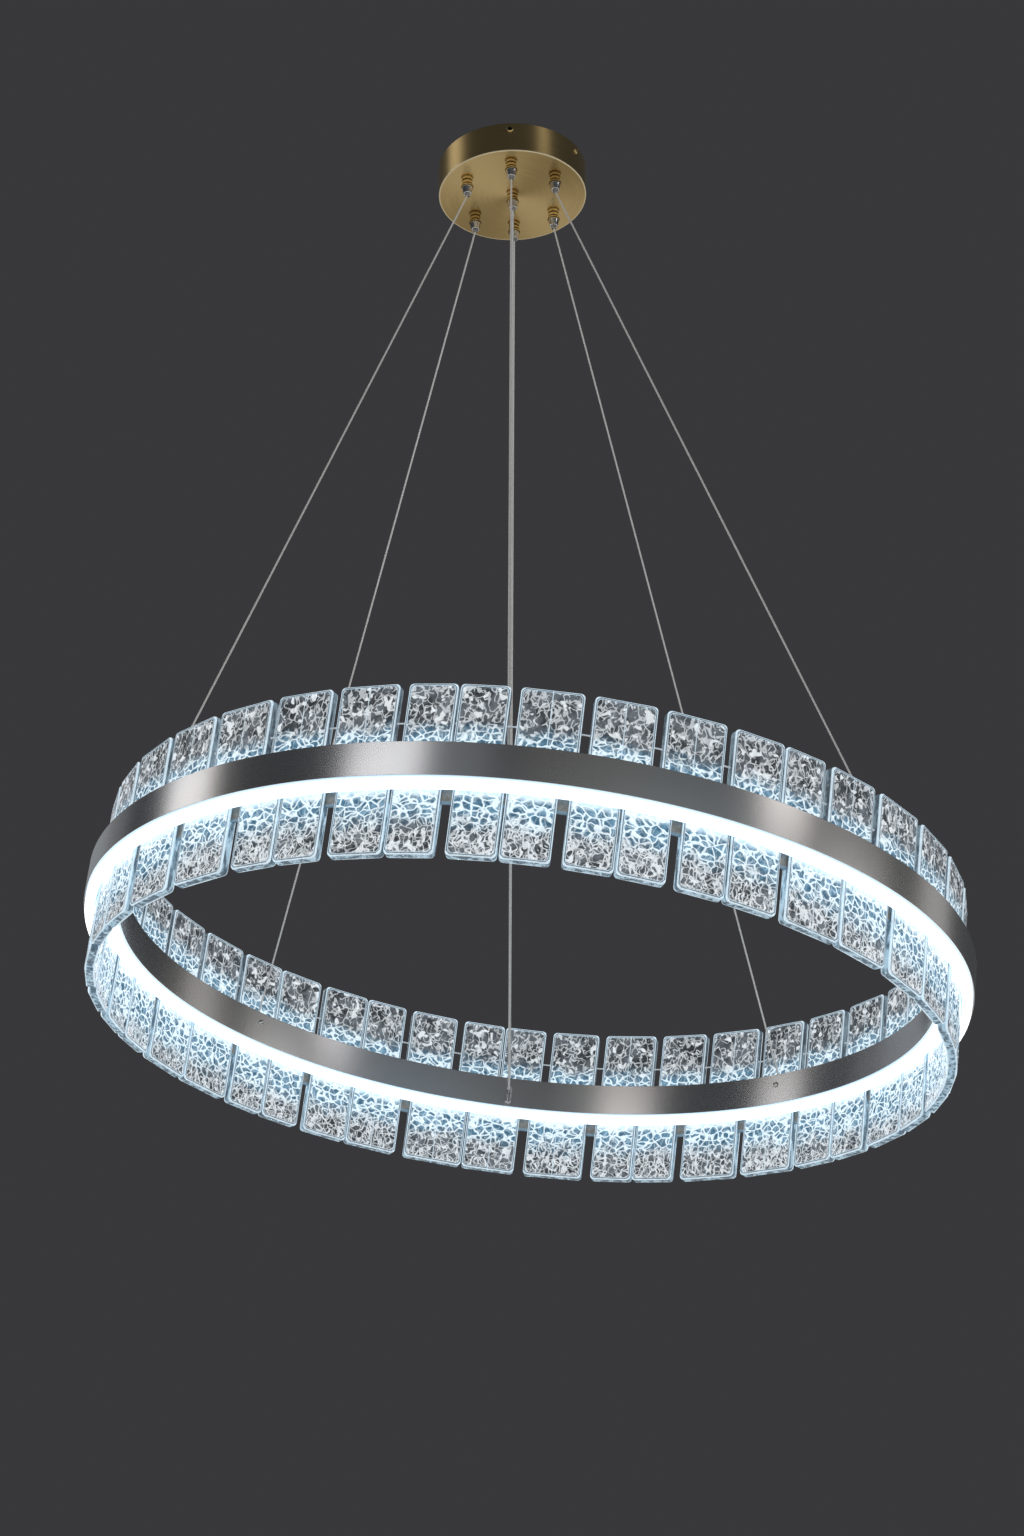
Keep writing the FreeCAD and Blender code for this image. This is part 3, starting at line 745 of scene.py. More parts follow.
polished_brass = finish(
    "polished_brass", with_painted_shade(metal(POLISHED_DEEP, POLISHED_BRIGHT, 0.10), collar_painted_shade)
)
gripper_places = [
    Matrix.Translation(on_circle(GRIPPER_CIRCLE_RADIUS, angle, CUP_FACE))
    for angle in GRIPPER_ANGLES
]
gland_places = [Matrix.Translation((0, 0, CUP_FACE))]
collars = repeated(collar_form(), gripper_places)
piece("collars", collars, polished_brass, "canopy", "turned_brass", "gripper_collars")
gland = repeated(collar_form(), gland_places)
piece("central_collar", gland, polished_brass, "canopy", "turned_brass", "gland_collar")
dress("gripper_nuts", finish("lock_nut_steel", metal(NUT_DARK, NUT_LIGHT, 0.3)))

# ------------------------ gripper housings
# Below each collar a nickel-plated housing tapers to the release nose. It is turned from
# bar with a rounded shoulder, and it hides the balls that grip the cable.

HOUSING_TOP_RADIUS = 5.8
HOUSING_TIP_RADIUS = 4.2
HOUSING_HEIGHT = 8.0
NOSE_RADIUS = 2.5
NOSE_ROOM = 0.2
NOSE_BORE_DEPTH = 5.8
HOUSING_CHAMFER = 0.5
BORE_CHAMFER = 0.3
# The shoulder, as steps inwards and down from the housing's upper rim
HOUSING_SHOULDER = ((0.7, 3.2), (0.1, 1.6), (0.0, 0.6))
HOUSING_EDGE = 0.1
NICKEL_DEEP = (0.60, 0.59, 0.58, 1.0)
NICKEL_BRIGHT = (0.82, 0.81, 0.80, 1.0)


def housing_form():
    top = COLLAR_FOOT
    tip = top - HOUSING_HEIGHT
    bore = NOSE_RADIUS + NOSE_ROOM
    outline = [
        (0, tip + NOSE_BORE_DEPTH),
        (bore, tip + NOSE_BORE_DEPTH),
        (bore, tip + BORE_CHAMFER),
        (bore + BORE_CHAMFER, tip),
        (HOUSING_TIP_RADIUS - HOUSING_CHAMFER, tip),
        (HOUSING_TIP_RADIUS, tip + HOUSING_CHAMFER),
        *((HOUSING_TOP_RADIUS - back, top - down) for back, down in HOUSING_SHOULDER),
        (HOUSING_TOP_RADIUS, top),
        (0, top),
    ]
    return eased(spun(outline, SMALL_STEPS), HOUSING_EDGE, 2)


nickel = finish("nickel_plate", metal(NICKEL_DEEP, NICKEL_BRIGHT, 0.14))
housings = repeated(housing_form(), gripper_places)
piece("housings", housings, nickel, "canopy", "nickel", "gripper_housings")
gland_body = repeated(housing_form(), gland_places)
piece("central_housing", gland_body, nickel, "canopy", "nickel", "gland_housing")

# ------------------------ release noses
# A short plunger stands out of each housing. Pushed up, it frees the cable, which leaves
# through the plunger's flared mouth. The gland has a fixed bush of the same form.

NOSE_SHOWING = 2.8
NOSE_INSIDE = 3.0
MOUTH_RADIUS = 2.0
THROAT_RADIUS = 1.2
MOUTH_DEPTH = 2.4
MOUTH_BEND_RADIUS = 1.45
MOUTH_BEND_RISE = 1.2
NOSE_CHAMFER = 0.3
NOSE_GROOVE_DEPTH = 0.25
# The groove's two lips and floor, as heights above the nose's tip
NOSE_GROOVE = (1.5, 1.7, 2.1, 2.3)
NOSE_DEEP = (0.36, 0.36, 0.37, 1.0)
NOSE_BRIGHT = (0.56, 0.56, 0.57, 1.0)


def groove_outline(radius, depth, levels):
    """The part of an outline that draws a groove: lip, floor, floor and lip."""
    return list(zip((radius, radius - depth, radius - depth, radius), levels))


def nose_form():
    bottom = COLLAR_FOOT - HOUSING_HEIGHT - NOSE_SHOWING
    top = bottom + NOSE_SHOWING + NOSE_INSIDE
    outline = [
        (0, bottom + MOUTH_DEPTH),
        (THROAT_RADIUS, bottom + MOUTH_DEPTH),
        (MOUTH_BEND_RADIUS, bottom + MOUTH_BEND_RISE),
        (MOUTH_RADIUS, bottom),
        (NOSE_RADIUS - NOSE_CHAMFER, bottom),
        (NOSE_RADIUS, bottom + NOSE_CHAMFER),
        *groove_outline(NOSE_RADIUS, NOSE_GROOVE_DEPTH, [bottom + rise for rise in NOSE_GROOVE]),
        (NOSE_RADIUS, top),
        (0, top),
    ]
    return spun(outline, SMALL_STEPS)


nose_finish = finish("satin_nickel", metal(NOSE_DEEP, NOSE_BRIGHT, 0.22))
for number, place in enumerate(gripper_places, 1):
    nose = repeated(nose_form(), [place])
    body = "nose_" + str(number)
    piece("plunger_" + str(number), nose, nose_finish, body, "nickel_dark", "release_" + body)
bush = repeated(nose_form(), gland_places)
piece("gland_mouth", bush, nose_finish, "canopy", "nickel_dark", "gland_bush")

# ------------------------ ring bands
# Two bands of stainless steel strip, 30 mm high, rolled into hoops and polished bright.
# Their edges are broken just enough to catch the light of the bars below.

BAND_HEIGHT = 30.0
BAND_WALL = 1.5
BAND_EDGE = 0.3
RING_STEPS = 320
STEEL_PATCH_SCALE = 2.2
STEEL_COOL = (0.60, 0.61, 0.64, 1.0)
STEEL_WARM = (0.68, 0.64, 0.60, 1.0)


def ring_place(start):
    """The place on the level ring, before it hung askew, in metres."""
    return start.node(
        "Mapping",
        {"vector_type": "TEXTURE"},
        {
            "Vector": surface_place(start),
            "Location": RING_PLACE.translation * MM,
            "Rotation": RING_PLACE.to_euler(),
        },
    )


def polished_steel_paint(start):
    patches = cloud(ring_place(start), STEEL_PATCH_SCALE, 1.0)
    return {
        "Base Color": two_toned(patches, STEEL_COOL, STEEL_WARM),
        "Metallic": 1.0,
        "Roughness": 0.23,
    }


def band(inside, outside):
    """A hoop of oblong section, its edges rounded, hung in the ring's place."""
    outline = [(inside, 0), (outside, 0), (outside, BAND_HEIGHT), (inside, BAND_HEIGHT)]
    form = eased(spun(outline, RING_STEPS), BAND_EDGE, 2)
    form.transform(RING_PLACE)
    return form


polished_steel = finish("polished_steel", polished_steel_paint)
outer = band(RING_RADIUS - BAND_WALL, RING_RADIUS)
piece("outer_hoop", outer, polished_steel, "ring", "polished_steel", "outer_band")
inner = band(INNER_RADIUS, INNER_RADIUS + BAND_WALL)
piece("inner_hoop", inner, polished_steel, "ring", "polished_steel", "inner_band")

# ------------------------ webs, rail and boards
# Flat aluminium webs join the bands to an upright strip, the rail, which carries the tiles.
# Light boards are stuck under the webs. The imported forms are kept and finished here.

WEB_DEEP = (0.52, 0.52, 0.52, 1.0)
WEB_BRIGHT = (0.70, 0.70, 0.70, 1.0)
RAIL_SHADE = (0.19, 0.175, 0.15, 1.0)
RAIL_LIGHT = (0.30, 0.28, 0.25, 1.0)
RAIL_FOOT_BAR_LIGHT = (0.26, 0.42, 0.54, 1.0)
RAIL_BOTTOM = -18.0
RAIL_LIT_HEIGHT = 3.5
RAIL_GRAIN_SCALE = 240.0
BOARD_WHITE = (0.86, 0.86, 0.84, 1.0)
CHIP_YELLOW = (0.80, 0.62, 0.22, 1.0)
CHIP_SCALE = 130.0


def rail_paint(start):
    place = ring_place(start)
    height = split(place)[2] * IN_MM
    # Painted light: the rail's foot beside the bars is painted pale blue, as lit by them.
    lit = falling(height, RAIL_BOTTOM, RAIL_BOTTOM + RAIL_LIT_HEIGHT)
    grain = cloud(place, RAIL_GRAIN_SCALE, 3.0)
    return {
        "Base Color": mixed(lit, two_toned(grain, RAIL_SHADE, RAIL_LIGHT, 0.2), RAIL_FOOT_BAR_LIGHT),
        "Roughness": 0.38 + grain * 0.1,
    }


def board_paint(start):
    inputs = {"Vector": ring_place(start), "Scale": CHIP_SCALE}
    chips = start.node("TexVoronoi", {}, inputs, "Distance")
    return {
        "Base Color": mixed(rising(chips, 0.2, 0.3), CHIP_YELLOW, BOARD_WHITE),
        "Roughness": 0.4,
    }


web_finish = finish("web_aluminium", metal(WEB_DEEP, WEB_BRIGHT, 0.35))
board_finish = finish("light_board", board_paint)
dress("tile_rail", finish("rail_aluminium", rail_paint))
for side in ("outer", "inner"):
    dress(side + "_web", web_finish)
    dress(side + "_led_boards", board_finish)

# ------------------------ opal light bars
# Extruded opal plastic, bent into hoops on each side of the tiles. Lit from inside by the
# boards, the bars are blown out to white, and pale blue beside the tiles and up at the bands.

BAR_RISE = 6.0
BAR_DROP = 8.0
BAR_BEVEL = 2.0
BAR_CHAMFER = 0.5
BAR_NEAR_TILES = HALF_TILE_ROOM + SEAT_GAP
BAR_NEAR_BAND = RING_WIDTH / 2 - BAND_WALL - SEAT_GAP
BLUE_EDGE_WIDTH = 1.6
BLUE_TOP = (-2.6, -0.2)
LIGHTS_PER_TURN = 288
DOT_DEPTH = 0.08
BAR_WHITE = (0.93, 0.97, 1.0, 1.0)
BAR_BLUE = (0.26, 0.44, 0.62, 1.0)
BAR_PLASTIC = (0.88, 0.92, 0.96, 1.0)
BAR_STRENGTH = 1.5


def opal_paint(start):
    x, y, z = split(ring_place(start))
    off_mid = abs(out_from_axis(x, y) * IN_MM - MID_RADIUS)
    across = rising(off_mid, BAR_NEAR_TILES, BAR_NEAR_TILES + BLUE_EDGE_WIDTH)
    up = falling(z * IN_MM, *BLUE_TOP)
    around = y.maths("ARCTAN2", x)
    dots = (around * LIGHTS_PER_TURN).maths("COSINE") * DOT_DEPTH + (1.0 - DOT_DEPTH)
    return {
        "Base Color": BAR_PLASTIC,
        "Roughness": 0.35,
        "Emission Color": mixed(across * up * dots, BAR_BLUE, BAR_WHITE),
        "Emission Strength": BAR_STRENGTH,
    }


def light_bar(side):
    """side is 1 outside the tiles and -1 inside them."""
    profile = [
        (BAR_NEAR_TILES, -BAR_DROP + BAR_CHAMFER),
        (BAR_NEAR_TILES + BAR_CHAMFER, -BAR_DROP),
        (BAR_NEAR_BAND - BAR_BEVEL, -BAR_DROP),
        (BAR_NEAR_BAND - BAR_BEVEL * 0.4, -BAR_DROP + BAR_BEVEL * 0.3),
        (BAR_NEAR_BAND, -BAR_DROP + BAR_BEVEL),
        (BAR_NEAR_BAND, BAR_RISE),
        (BAR_NEAR_TILES, BAR_RISE),
    ]
    form = spun([(MID_RADIUS + side * offset, height) for offset, height in profile], RING_STEPS)
    form.transform(RING_PLACE)
    return form


opal = finish("lit_opal", opal_paint)
piece("outer_light_bar", light_bar(1), opal, "ring", "opal_diffuser", "outer_diffuser")
piece("inner_light_bar", light_bar(-1), opal, "ring", "opal_diffuser", "inner_diffuser")

# ------------------------ cast glass tiles
# Slabs of clear glass, 9 mm thick, cast in a hammered mould and slotted over the rail from
# above and from below. Their rims are ground and their free corners are cut. The light of the
# bars in them is painted into their colour, which also glows: veins blue and dense beside the
# bars and scattered further off, painted highlight lines along rims and seams, and painted
# shade on the upper row's sides.

TILE_WIDTHS = {"N": 41.0, "M": 46.5, "W": 52.0, "B": WIDEST_TILE}
TILE_CORNER = 3.5
RIM_BEVEL = 1.0
RIM_WIDTH = 2.2
PAIR_GAP = 1.6
LEAST_GROUP_GAP = 4.0
RAIL_THICKNESS = 2.5
SLOT_WIDTH = RAIL_THICKNESS + TILE_BOW + 2 * SEAT_GAP
RAIL_RISE = 15.0
UPPER_SEAT = WEB_TOP + SEAT_GAP
UPPER_RISE = 58.0
LOWER_SEAT = -1.0
LOWER_EDGE = -64.0
LOWER_SLOT_DEPTH = -RAIL_BOTTOM + LOWER_SEAT + SEAT_GAP
HAIR = 0.01
RELIEF_GRID = 1.8
RELIEF_CELL = 6.5
RELIEF_DEPTH = 0.55
RELIEF_START = RIM_WIDTH - 0.4
VEIN_SHARE = 0.5
RIPPLE_SIZE = 2.2
RIPPLE_DEPTH = 0.22
# Each tile is cast from its own part of the pattern, this far from the next one's
PATTERN_STEP = 211.0
# Tiles of these widths have a seam down their middle
SEAMED = "WB"
# Six sectors to a row, each with its start in degrees and its order of tile groups
UPPER_ROW = (
    (-178.0, "W W W B B B"),
    (-122.4, "W W NN W W W"),
    (-64.3, "MN W B B B B"),
    (-2.0, "W W NN W M M"),
    (55.2, "W M W M NN M NM"),
    (125.6, "MM W W W M M"),
)
LOWER_ROW = (
    (-178.0, "MM MM B B NN"),
    (-112.3, "MN NN NN NM"),
    (-55.4, "BB BB WM"),
    (-2.0, "WW WB MM B"),
    (57.5, "B NN B WB WM"),
    (126.3, "NN BB MM W"),
)
GLASS_PAINTED_DARK = (0.030, 0.034, 0.039, 1.0)
GLASS_GREY = (0.110, 0.125, 0.140, 1.0)
GLASS_BAR_LIGHT_BLUE = (0.050, 0.120, 0.185, 1.0)
GLASS_BAR_LIGHT_SKY = (0.13, 0.25, 0.35, 1.0)
VEIN_GLOW_WHITE = (0.76, 0.88, 0.94, 1.0)
FLECK_GLOW_WHITE = (0.72, 0.76, 0.79, 1.0)
RIM_HIGHLIGHT = (0.60, 0.72, 0.80, 1.0)
RIM_SHADE = (0.08, 0.11, 0.14, 1.0)
SIDE_SHADE = (0.060, 0.095, 0.125, 1.0)
SIDE_LIGHT = (0.32, 0.45, 0.54, 1.0)
BEND_SCALE = 110.0
BEND_REACH_METRES = 0.008
BROAD_SCALE = 70.0
PATCH_SCALE = 130.0
CELL_SCALE = 122.0
CELL_SHAPE = (1.0, 1.0, 1.3)
VEIN_WIDTH = 0.20
SMALL_CELL_SCALE = 165.0
SMALL_CELL_SHAPE = (1.0, 1.0, 0.8)
SMALL_VEIN_WIDTH = 0.13
CURL_SCALE = 120.0
CURL_SHAPE = (1.0, 1.0, 0.6)
CURL_WIDTH = 0.045
BLOB_SCALE = 135.0
SIDE_STREAK_SCALE = 220.0
SIDE_STREAK_SHAPE = (1.0, 1.0, 0.25)
UPPER_ROW_FADE = 1.45
REACH_DRIFT = 30.0
END_REACH_LOSS = 20.0
BLOWN_DRIFT = 10.0
# From and to which distance the bars' painted light and the painted highlight lines fade
NEAR_LIGHT = (14.0, 37.0)
BLOWN_OUT = (0.0, 7.0)
OUTER_LINE = (0.6, 1.0)
INNER_LINE_START = (1.5, 1.7)
INNER_LINE_END = (2.0, 2.4)
SEAM_HIGHLIGHT = (0.25, 0.6)
SIDE_WIDTH = (2.6, 3.6)
SIDE_START = (0.05, 0.2)
GLASS_GLOW = 0.61


def span(width):
    """Angle that a tile of this width takes up along the rail."""
    return 2 * math.degrees(math.atan(width / 2 / MID_RADIUS))


def arc(length):
    """Angle that a gap of this length takes up along the rail."""
    return math.degrees(length / MID_RADIUS)


def group_span(group):
    """Angle that a group of tiles takes up along the rail."""
    tiles = sum(span(TILE_WIDTHS[letter]) for letter in group)
    return tiles + arc(PAIR_GAP) * (len(group) - 1)


def sector_tiles(start, end, layout):
    """(middle angle, letter) of each tile; the groups are spread evenly over the sector."""
    groups = []
    used = 0.0
    for group in itertools.cycle(layout.split()):
        used += group_span(group) + arc(LEAST_GROUP_GAP)
        if used > end - start:
            break
        groups.append(group)
    gap = (end - start - sum(group_span(group) for group in groups)) / len(groups)
    tiles = []
    angle = start + gap / 2
    for group in groups:
        for letter in group:
            width = TILE_WIDTHS[letter]
            tiles.append((angle + span(width) / 2, letter))
            angle += span(width) + arc(PAIR_GAP)
        angle += gap - arc(PAIR_GAP)
    return tiles


def row_sectors(row):
    starts = [start for start, layout in row]
    ends = starts[1:] + [starts[0] + 360.0]
    return [sector_tiles(start, end, layout) for (start, layout), end in zip(row, ends)]


def steps_between(low, high, spacing):
    count = max(1, round((high - low) / spacing))
    return [low + (high - low) * number / count for number in range(count + 1)]


def slotted_slab(width, seat, edge, slot_depth):
    """A tile on +X: its section is drawn, drawn out across, and its corners and rims cut."""
    up = 1 if edge > seat else -1
    middle = MID_RADIUS - width**2 / (8 * MID_RADIUS) / 2
    half = TILE_THICKNESS / 2
    slot = SLOT_WIDTH / 2
    section = [
        (-half, seat),
        (-slot, seat),
        (-slot, seat + up * slot_depth),
        (slot, seat + up * slot_depth),
        (slot, seat),
        (half, seat),
        (half, edge),
        (-half, edge),
    ]
    form = bmesh.new()
    corners = [form.verts.new((middle + off, -width / 2, height)) for off, height in section]
    side = form.faces.new(corners)
    drawn = bmesh.ops.extrude_face_region(form, geom=[side])["geom"]
    far = [part for part in drawn if isinstance(part, bmesh.types.BMVert)]
    bmesh.ops.translate(form, vec=(0, width, 0), verts=far)
    bmesh.ops.recalc_face_normals(form, faces=form.faces)
    free_corners = [
        rib
        for rib in form.edges
        if all(abs(corner.co.z - edge) < HAIR for corner in rib.verts)
        and abs(rib.verts[0].co.y - rib.verts[1].co.y) < HAIR
    ]
    bevelled(form, free_corners, TILE_CORNER, 3)
    rims = [
        rib
        for rib in form.edges
        if all(abs(abs(corner.co.x - middle) - half) < HAIR for corner in rib.verts)
        and abs(rib.verts[0].co.x - rib.verts[1].co.x) < HAIR
        and not all(abs(corner.co.z - seat) < HAIR for corner in rib.verts)
    ]
    bevelled(form, rims, RIM_BEVEL, 2)
    return form, middle


def broad_faces(form, middle):
    """The slab's front and back, as geometry to cut."""
    half = TILE_THICKNESS / 2 - HAIR
    faces = [f for f in form.faces if all(abs(v.co.x - middle) > half for v in f.verts)]
    parts = set(faces)
    for face in faces:
        parts.update(face.verts)
        parts.update(face.edges)
    return list(parts)


def edge_distance(y, z, width, edge):
    """Distance in the slab's plane to its nearest side or free edge, corners included."""
    beside = width / 2 - abs(y)
    above = abs(edge - z)
    corner = (beside + above - TILE_CORNER) * math.sqrt(0.5)
    return max(0.0, min(beside, above, corner))


def tile_form(letter, row):
    """A slab divided for its relief, with its rim and seam distances in a UV map."""
    width = TILE_WIDTHS[letter]
    seat, edge, slot_depth = row
    form, middle = slotted_slab(width, seat, edge, slot_depth)
    seamed = letter in SEAMED
    inset = width / 2 - RIM_WIDTH
    cuts = [((0, y, 0), (0, 1, 0)) for y in steps_between(-inset, inset, RELIEF_GRID)]
    low, high = sorted((seat, edge - math.copysign(RIM_WIDTH, edge - seat)))
    cuts += [((0, 0, z), (0, 0, 1)) for z in steps_between(low, high, RELIEF_GRID)]
    for place, direction in cuts:
        bmesh.ops.bisect_plane(
            form,
            geom=broad_faces(form, middle),
            dist=HAIR,
            plane_co=place,
            plane_no=direction,
        )
    lift = form.verts.layers.float.new("lift")
    half = TILE_THICKNESS / 2
    for corner in form.verts:
        x, y, z = corner.co
        away = edge_distance(y, z, width, edge)
        inside = min(1.0, max(0.0, (away - RELIEF_START) / RELIEF_GRID))
        seam = min(1.0, abs(y) / RELIEF_GRID) if seamed else 1.0
        flat = abs(abs(x - middle) - half) < HAIR
        corner[lift] = math.copysign(inside * seam, x - middle) if flat else 0.0
    rim = form.loops.layers.uv.new("rim")
    for face in form.faces:
        for loop in face.loops:
            x, y, z = loop.vert.co
            seam = abs(y) if seamed else width
            loop[rim].uv = (edge_distance(y, z, width, edge) * MM, seam * MM)
    return form


def cast_relief(form, first, number):
    """Sinks cells between raised veins on both broad faces of a tile still on +X."""
    lift = form.verts.layers.float["lift"]
    shift = Vector((0, PATTERN_STEP * number, 0))
    for corner in form.verts[first:]:
        if corner[lift]:
            place = corner.co + shift
            near, next_near = noise.voronoi(place / RELIEF_CELL)[0][:2]
            cell = min(1.0, (next_near - near) / VEIN_SHARE)
            depth = RELIEF_DEPTH * cell + RIPPLE_DEPTH * (noise.noise(place / RIPPLE_SIZE) + 1)
            corner.co.x -= corner[lift] * depth


def sector_form(tiles, patterns, first_number):
    """The tiles of one sector, each with its own relief, hung in the ring's place."""
    form = bmesh.new()
    for number, (angle, letter) in enumerate(tiles, first_number):
        first = len(form.verts)
        form.from_mesh(patterns[letter])
        form.verts.ensure_lookup_table()
        cast_relief(form, first, number)
        bmesh.ops.transform(form, matrix=RING_PLACE @ turned(angle), verts=form.verts[first:])
    return form


def stretched(place, factors):
    """The place with its axes scaled, so that a pattern on it shrinks or draws out."""
    return place.node("VectorMath", {"operation": "MULTIPLY"}, {0: place, 1: factors})


def veins(place, scale, width):
    """Lines between cells, their half width given in shares of a cell."""
    inputs = {"Vector": place, "Scale": scale}
    return falling(place.node("TexVoronoi", {"feature": "DISTANCE_TO_EDGE"}, inputs), 0.0, width)


def ridges(place, scale, width):
    """Thin curly lines, where a soft pattern passes through its middle."""
    return falling(abs(cloud(place, scale, 1.5) - 0.5), width * 0.4, width)


def bent_place(place, scale, reach_metres):
    """The place, pushed to and fro so that what is drawn on it curls."""
    shift = place.node("TexNoise", {}, {"Vector": place, "Scale": scale, "Detail": 1.0}, "Color")
    centred = shift.node("VectorMath", {"operation": "SUBTRACT"}, {0: shift, 1: (0.5, 0.5, 0.5)})
    inputs = {0: centred, 1: (reach_metres, reach_metres, reach_metres), 2: place}
    return centred.node("VectorMath", {"operation": "MULTIPLY_ADD"}, inputs)


def glass_paint(start):
    """Painted light: bright veins on blue near the bars and on dark grey far off, with painted
    highlight lines on rims and seams.
    """
    place = ring_place(start)
    x, y, z = split(place)
    height = z * IN_MM
    off_mid = abs(out_from_axis(x, y) * IN_MM - MID_RADIUS)
    above = (height - BAND_HEIGHT) * UPPER_ROW_FADE
    away = above.maths("MAXIMUM", -BAR_DROP - height)
    in_upper_row = rising(height, 0.0, 1.0)
    rim_x, rim_y = split(start.node("UVMap", {"uv_map": "rim"}))[:2]
    rim_away = rim_x * IN_MM
    seam_away = rim_y * IN_MM

    bent = bent_place(place, BEND_SCALE, BEND_REACH_METRES)
    broad = cloud(place, BROAD_SCALE, 1.0)
    patchy = cloud(place, PATCH_SCALE, 1.0)
    # The bars' painted light fades with distance from them and reaches further towards the ring's
    # ends.
    at_end = x * x / (x * x + y * y)
    reach = away + (broad - 0.5) * REACH_DRIFT - at_end * at_end * END_REACH_LOSS
    near = falling(reach, *NEAR_LIGHT)

    near_veins = veins(stretched(bent, CELL_SHAPE), CELL_SCALE, VEIN_WIDTH)
    small_veins = veins(stretched(bent, SMALL_CELL_SHAPE), SMALL_CELL_SCALE, SMALL_VEIN_WIDTH)
    near_bright = near_veins.maths("MAXIMUM", small_veins * 0.45)

    curls = ridges(stretched(bent, CURL_SHAPE), CURL_SCALE, CURL_WIDTH)
    strokes = (small_veins * rising(patchy, 0.36, 0.58)).maths("MAXIMUM", curls * 0.8)
    blobs = rising(cloud(bent, BLOB_SCALE, 1.0), 0.57, 0.68)
    far_upper = blobs.maths("MAXIMUM", strokes * 0.75)
    far_lower = strokes.maths("MAXIMUM", near_veins * near_veins * 0.6)
    far_bright = far_lower + (far_upper - far_lower) * in_upper_row
    bright = rising(far_bright + (near_bright - far_bright) * near, 0.15, 0.95)

    # Near the bars the glass is painted blue with their light; far off it is painted dark grey, as
    # the dark room seen through it.
    blue = mixed(rising(patchy, 0.4, 0.7), GLASS_BAR_LIGHT_BLUE, GLASS_BAR_LIGHT_SKY)
    grey = two_toned(broad, GLASS_PAINTED_DARK, GLASS_GREY)
    glow = mixed(near, FLECK_GLOW_WHITE, VEIN_GLOW_WHITE)
    inside = mixed(bright, mixed(near, grey, blue), glow)
    # Right beside the bars it is painted blown-out white.
    blown = falling(away + (patchy - 0.5) * BLOWN_DRIFT, *BLOWN_OUT)
    inside = mixed(blown * 0.8, inside, VEIN_GLOW_WHITE)

    # Painted highlight lines along the rims, with painted shade between them, and a painted
    # highlight down the seams.
    in_rim = falling(rim_away, *INNER_LINE_END)
    outer_rim_highlight = falling(rim_away, *OUTER_LINE)
    inner_rim_highlight = rising(rim_away, *INNER_LINE_START) * in_rim * 0.75
    seam_highlight = falling(seam_away, *SEAM_HIGHLIGHT) * 0.8
    lines = outer_rim_highlight.maths("MAXIMUM", inner_rim_highlight).maths("MAXIMUM", seam_highlight)
    face = mixed(lines, mixed(in_rim, inside, RIM_SHADE), RIM_HIGHLIGHT)

    # The sides are painted in light streaks, with painted shade on the upper row's sides.
    streaks = cloud(stretched(place, SIDE_STREAK_SHAPE), SIDE_STREAK_SCALE, 2.0)
    on_side = falling(off_mid, *SIDE_WIDTH) * falling(rim_away, *SIDE_START)
    side = mixed(rising(streaks, 0.42, 0.6), SIDE_SHADE, SIDE_LIGHT)
    side = mixed(in_upper_row * 0.6, side, GLASS_PAINTED_DARK)
    colour = mixed(on_side, face, side)
    # The same colour also glows, as painted light.
    return {
        "Base Color": colour,
        "Roughness": 0.10,
        "IOR": 1.5,
        "Transmission Weight": 0.35,
        "Emission Color": colour,
        "Emission Strength": GLASS_GLOW,
        "Normal": bumped(near_veins + blobs * 0.5, 0.5, 0.0006),
    }


glass = finish("hammered_glass", glass_paint)
rows = (
    ("upper", UPPER_ROW, (UPPER_SEAT, BAND_HEIGHT + UPPER_RISE, RAIL_RISE)),
    ("lower", LOWER_ROW, (LOWER_SEAT, LOWER_EDGE, LOWER_SLOT_DEPTH)),
)
tile_number = 0
for row_name, row_layout, row_sizes in rows:
    patterns = {}
    for letter in TILE_WIDTHS:
        form = tile_form(letter, row_sizes)
        patterns[letter] = bpy.data.meshes.new("pattern_" + letter)
        form.to_mesh(patterns[letter])
        form.free()
    for number, tiles in enumerate(row_sectors(row_layout), 1):
        form = sector_form(tiles, patterns, tile_number)
        tile_number += len(tiles)
        name = row_name + "_glass_" + str(number)
        piece(name, form, glass, "ring", "cast_glass", row_name + "_tiles_" + str(number))
    for pattern in patterns.values():
        bpy.data.meshes.remove(pattern)

# ------------------------ tile links
# Short clear rods join each upper tile to the next, so that they stand in line. A bead of
# the same plastic sits at each end.

LINK_RADIUS = 0.7
LINK_BEAD_RADIUS = 1.1
LINK_BEAD_LENGTH = 1.0
LINK_BEAD_TAPER = 0.4
LINK_BEAD_END = 0.7
LINK_LEVEL = BAND_HEIGHT + 23.7
LINK_PLAY = 0.4
LEAST_LINK = 0.88
LINK_STEPS = 10
LINK_SHADE = (0.50, 0.56, 0.62, 1.0)
LINK_LIGHT = (0.86, 0.92, 0.97, 1.0)


def link_form(length):
    """A rod along Z with a bead at each end."""
    half = length / 2
    outline = [
        (0, -half),
        (LINK_BEAD_RADIUS * LINK_BEAD_END, -half),
        (LINK_BEAD_RADIUS, -half + LINK_BEAD_TAPER),
        (LINK_RADIUS, -half + LINK_BEAD_LENGTH),
        (LINK_RADIUS, half - LINK_BEAD_LENGTH),
        (LINK_BEAD_RADIUS, half - LINK_BEAD_TAPER),
        (LINK_BEAD_RADIUS * LINK_BEAD_END, half),
        (0, half),
    ]
    return spun(outline, LINK_STEPS)


def joined(whole, part, place):
    """Moves a form to its place and adds it to another."""
    part.transform(place)
    mesh = bpy.data.meshes.new("part")
    part.to_mesh(mesh)
    part.free()
    whole.from_mesh(mesh)
    bpy.data.meshes.remove(mesh)


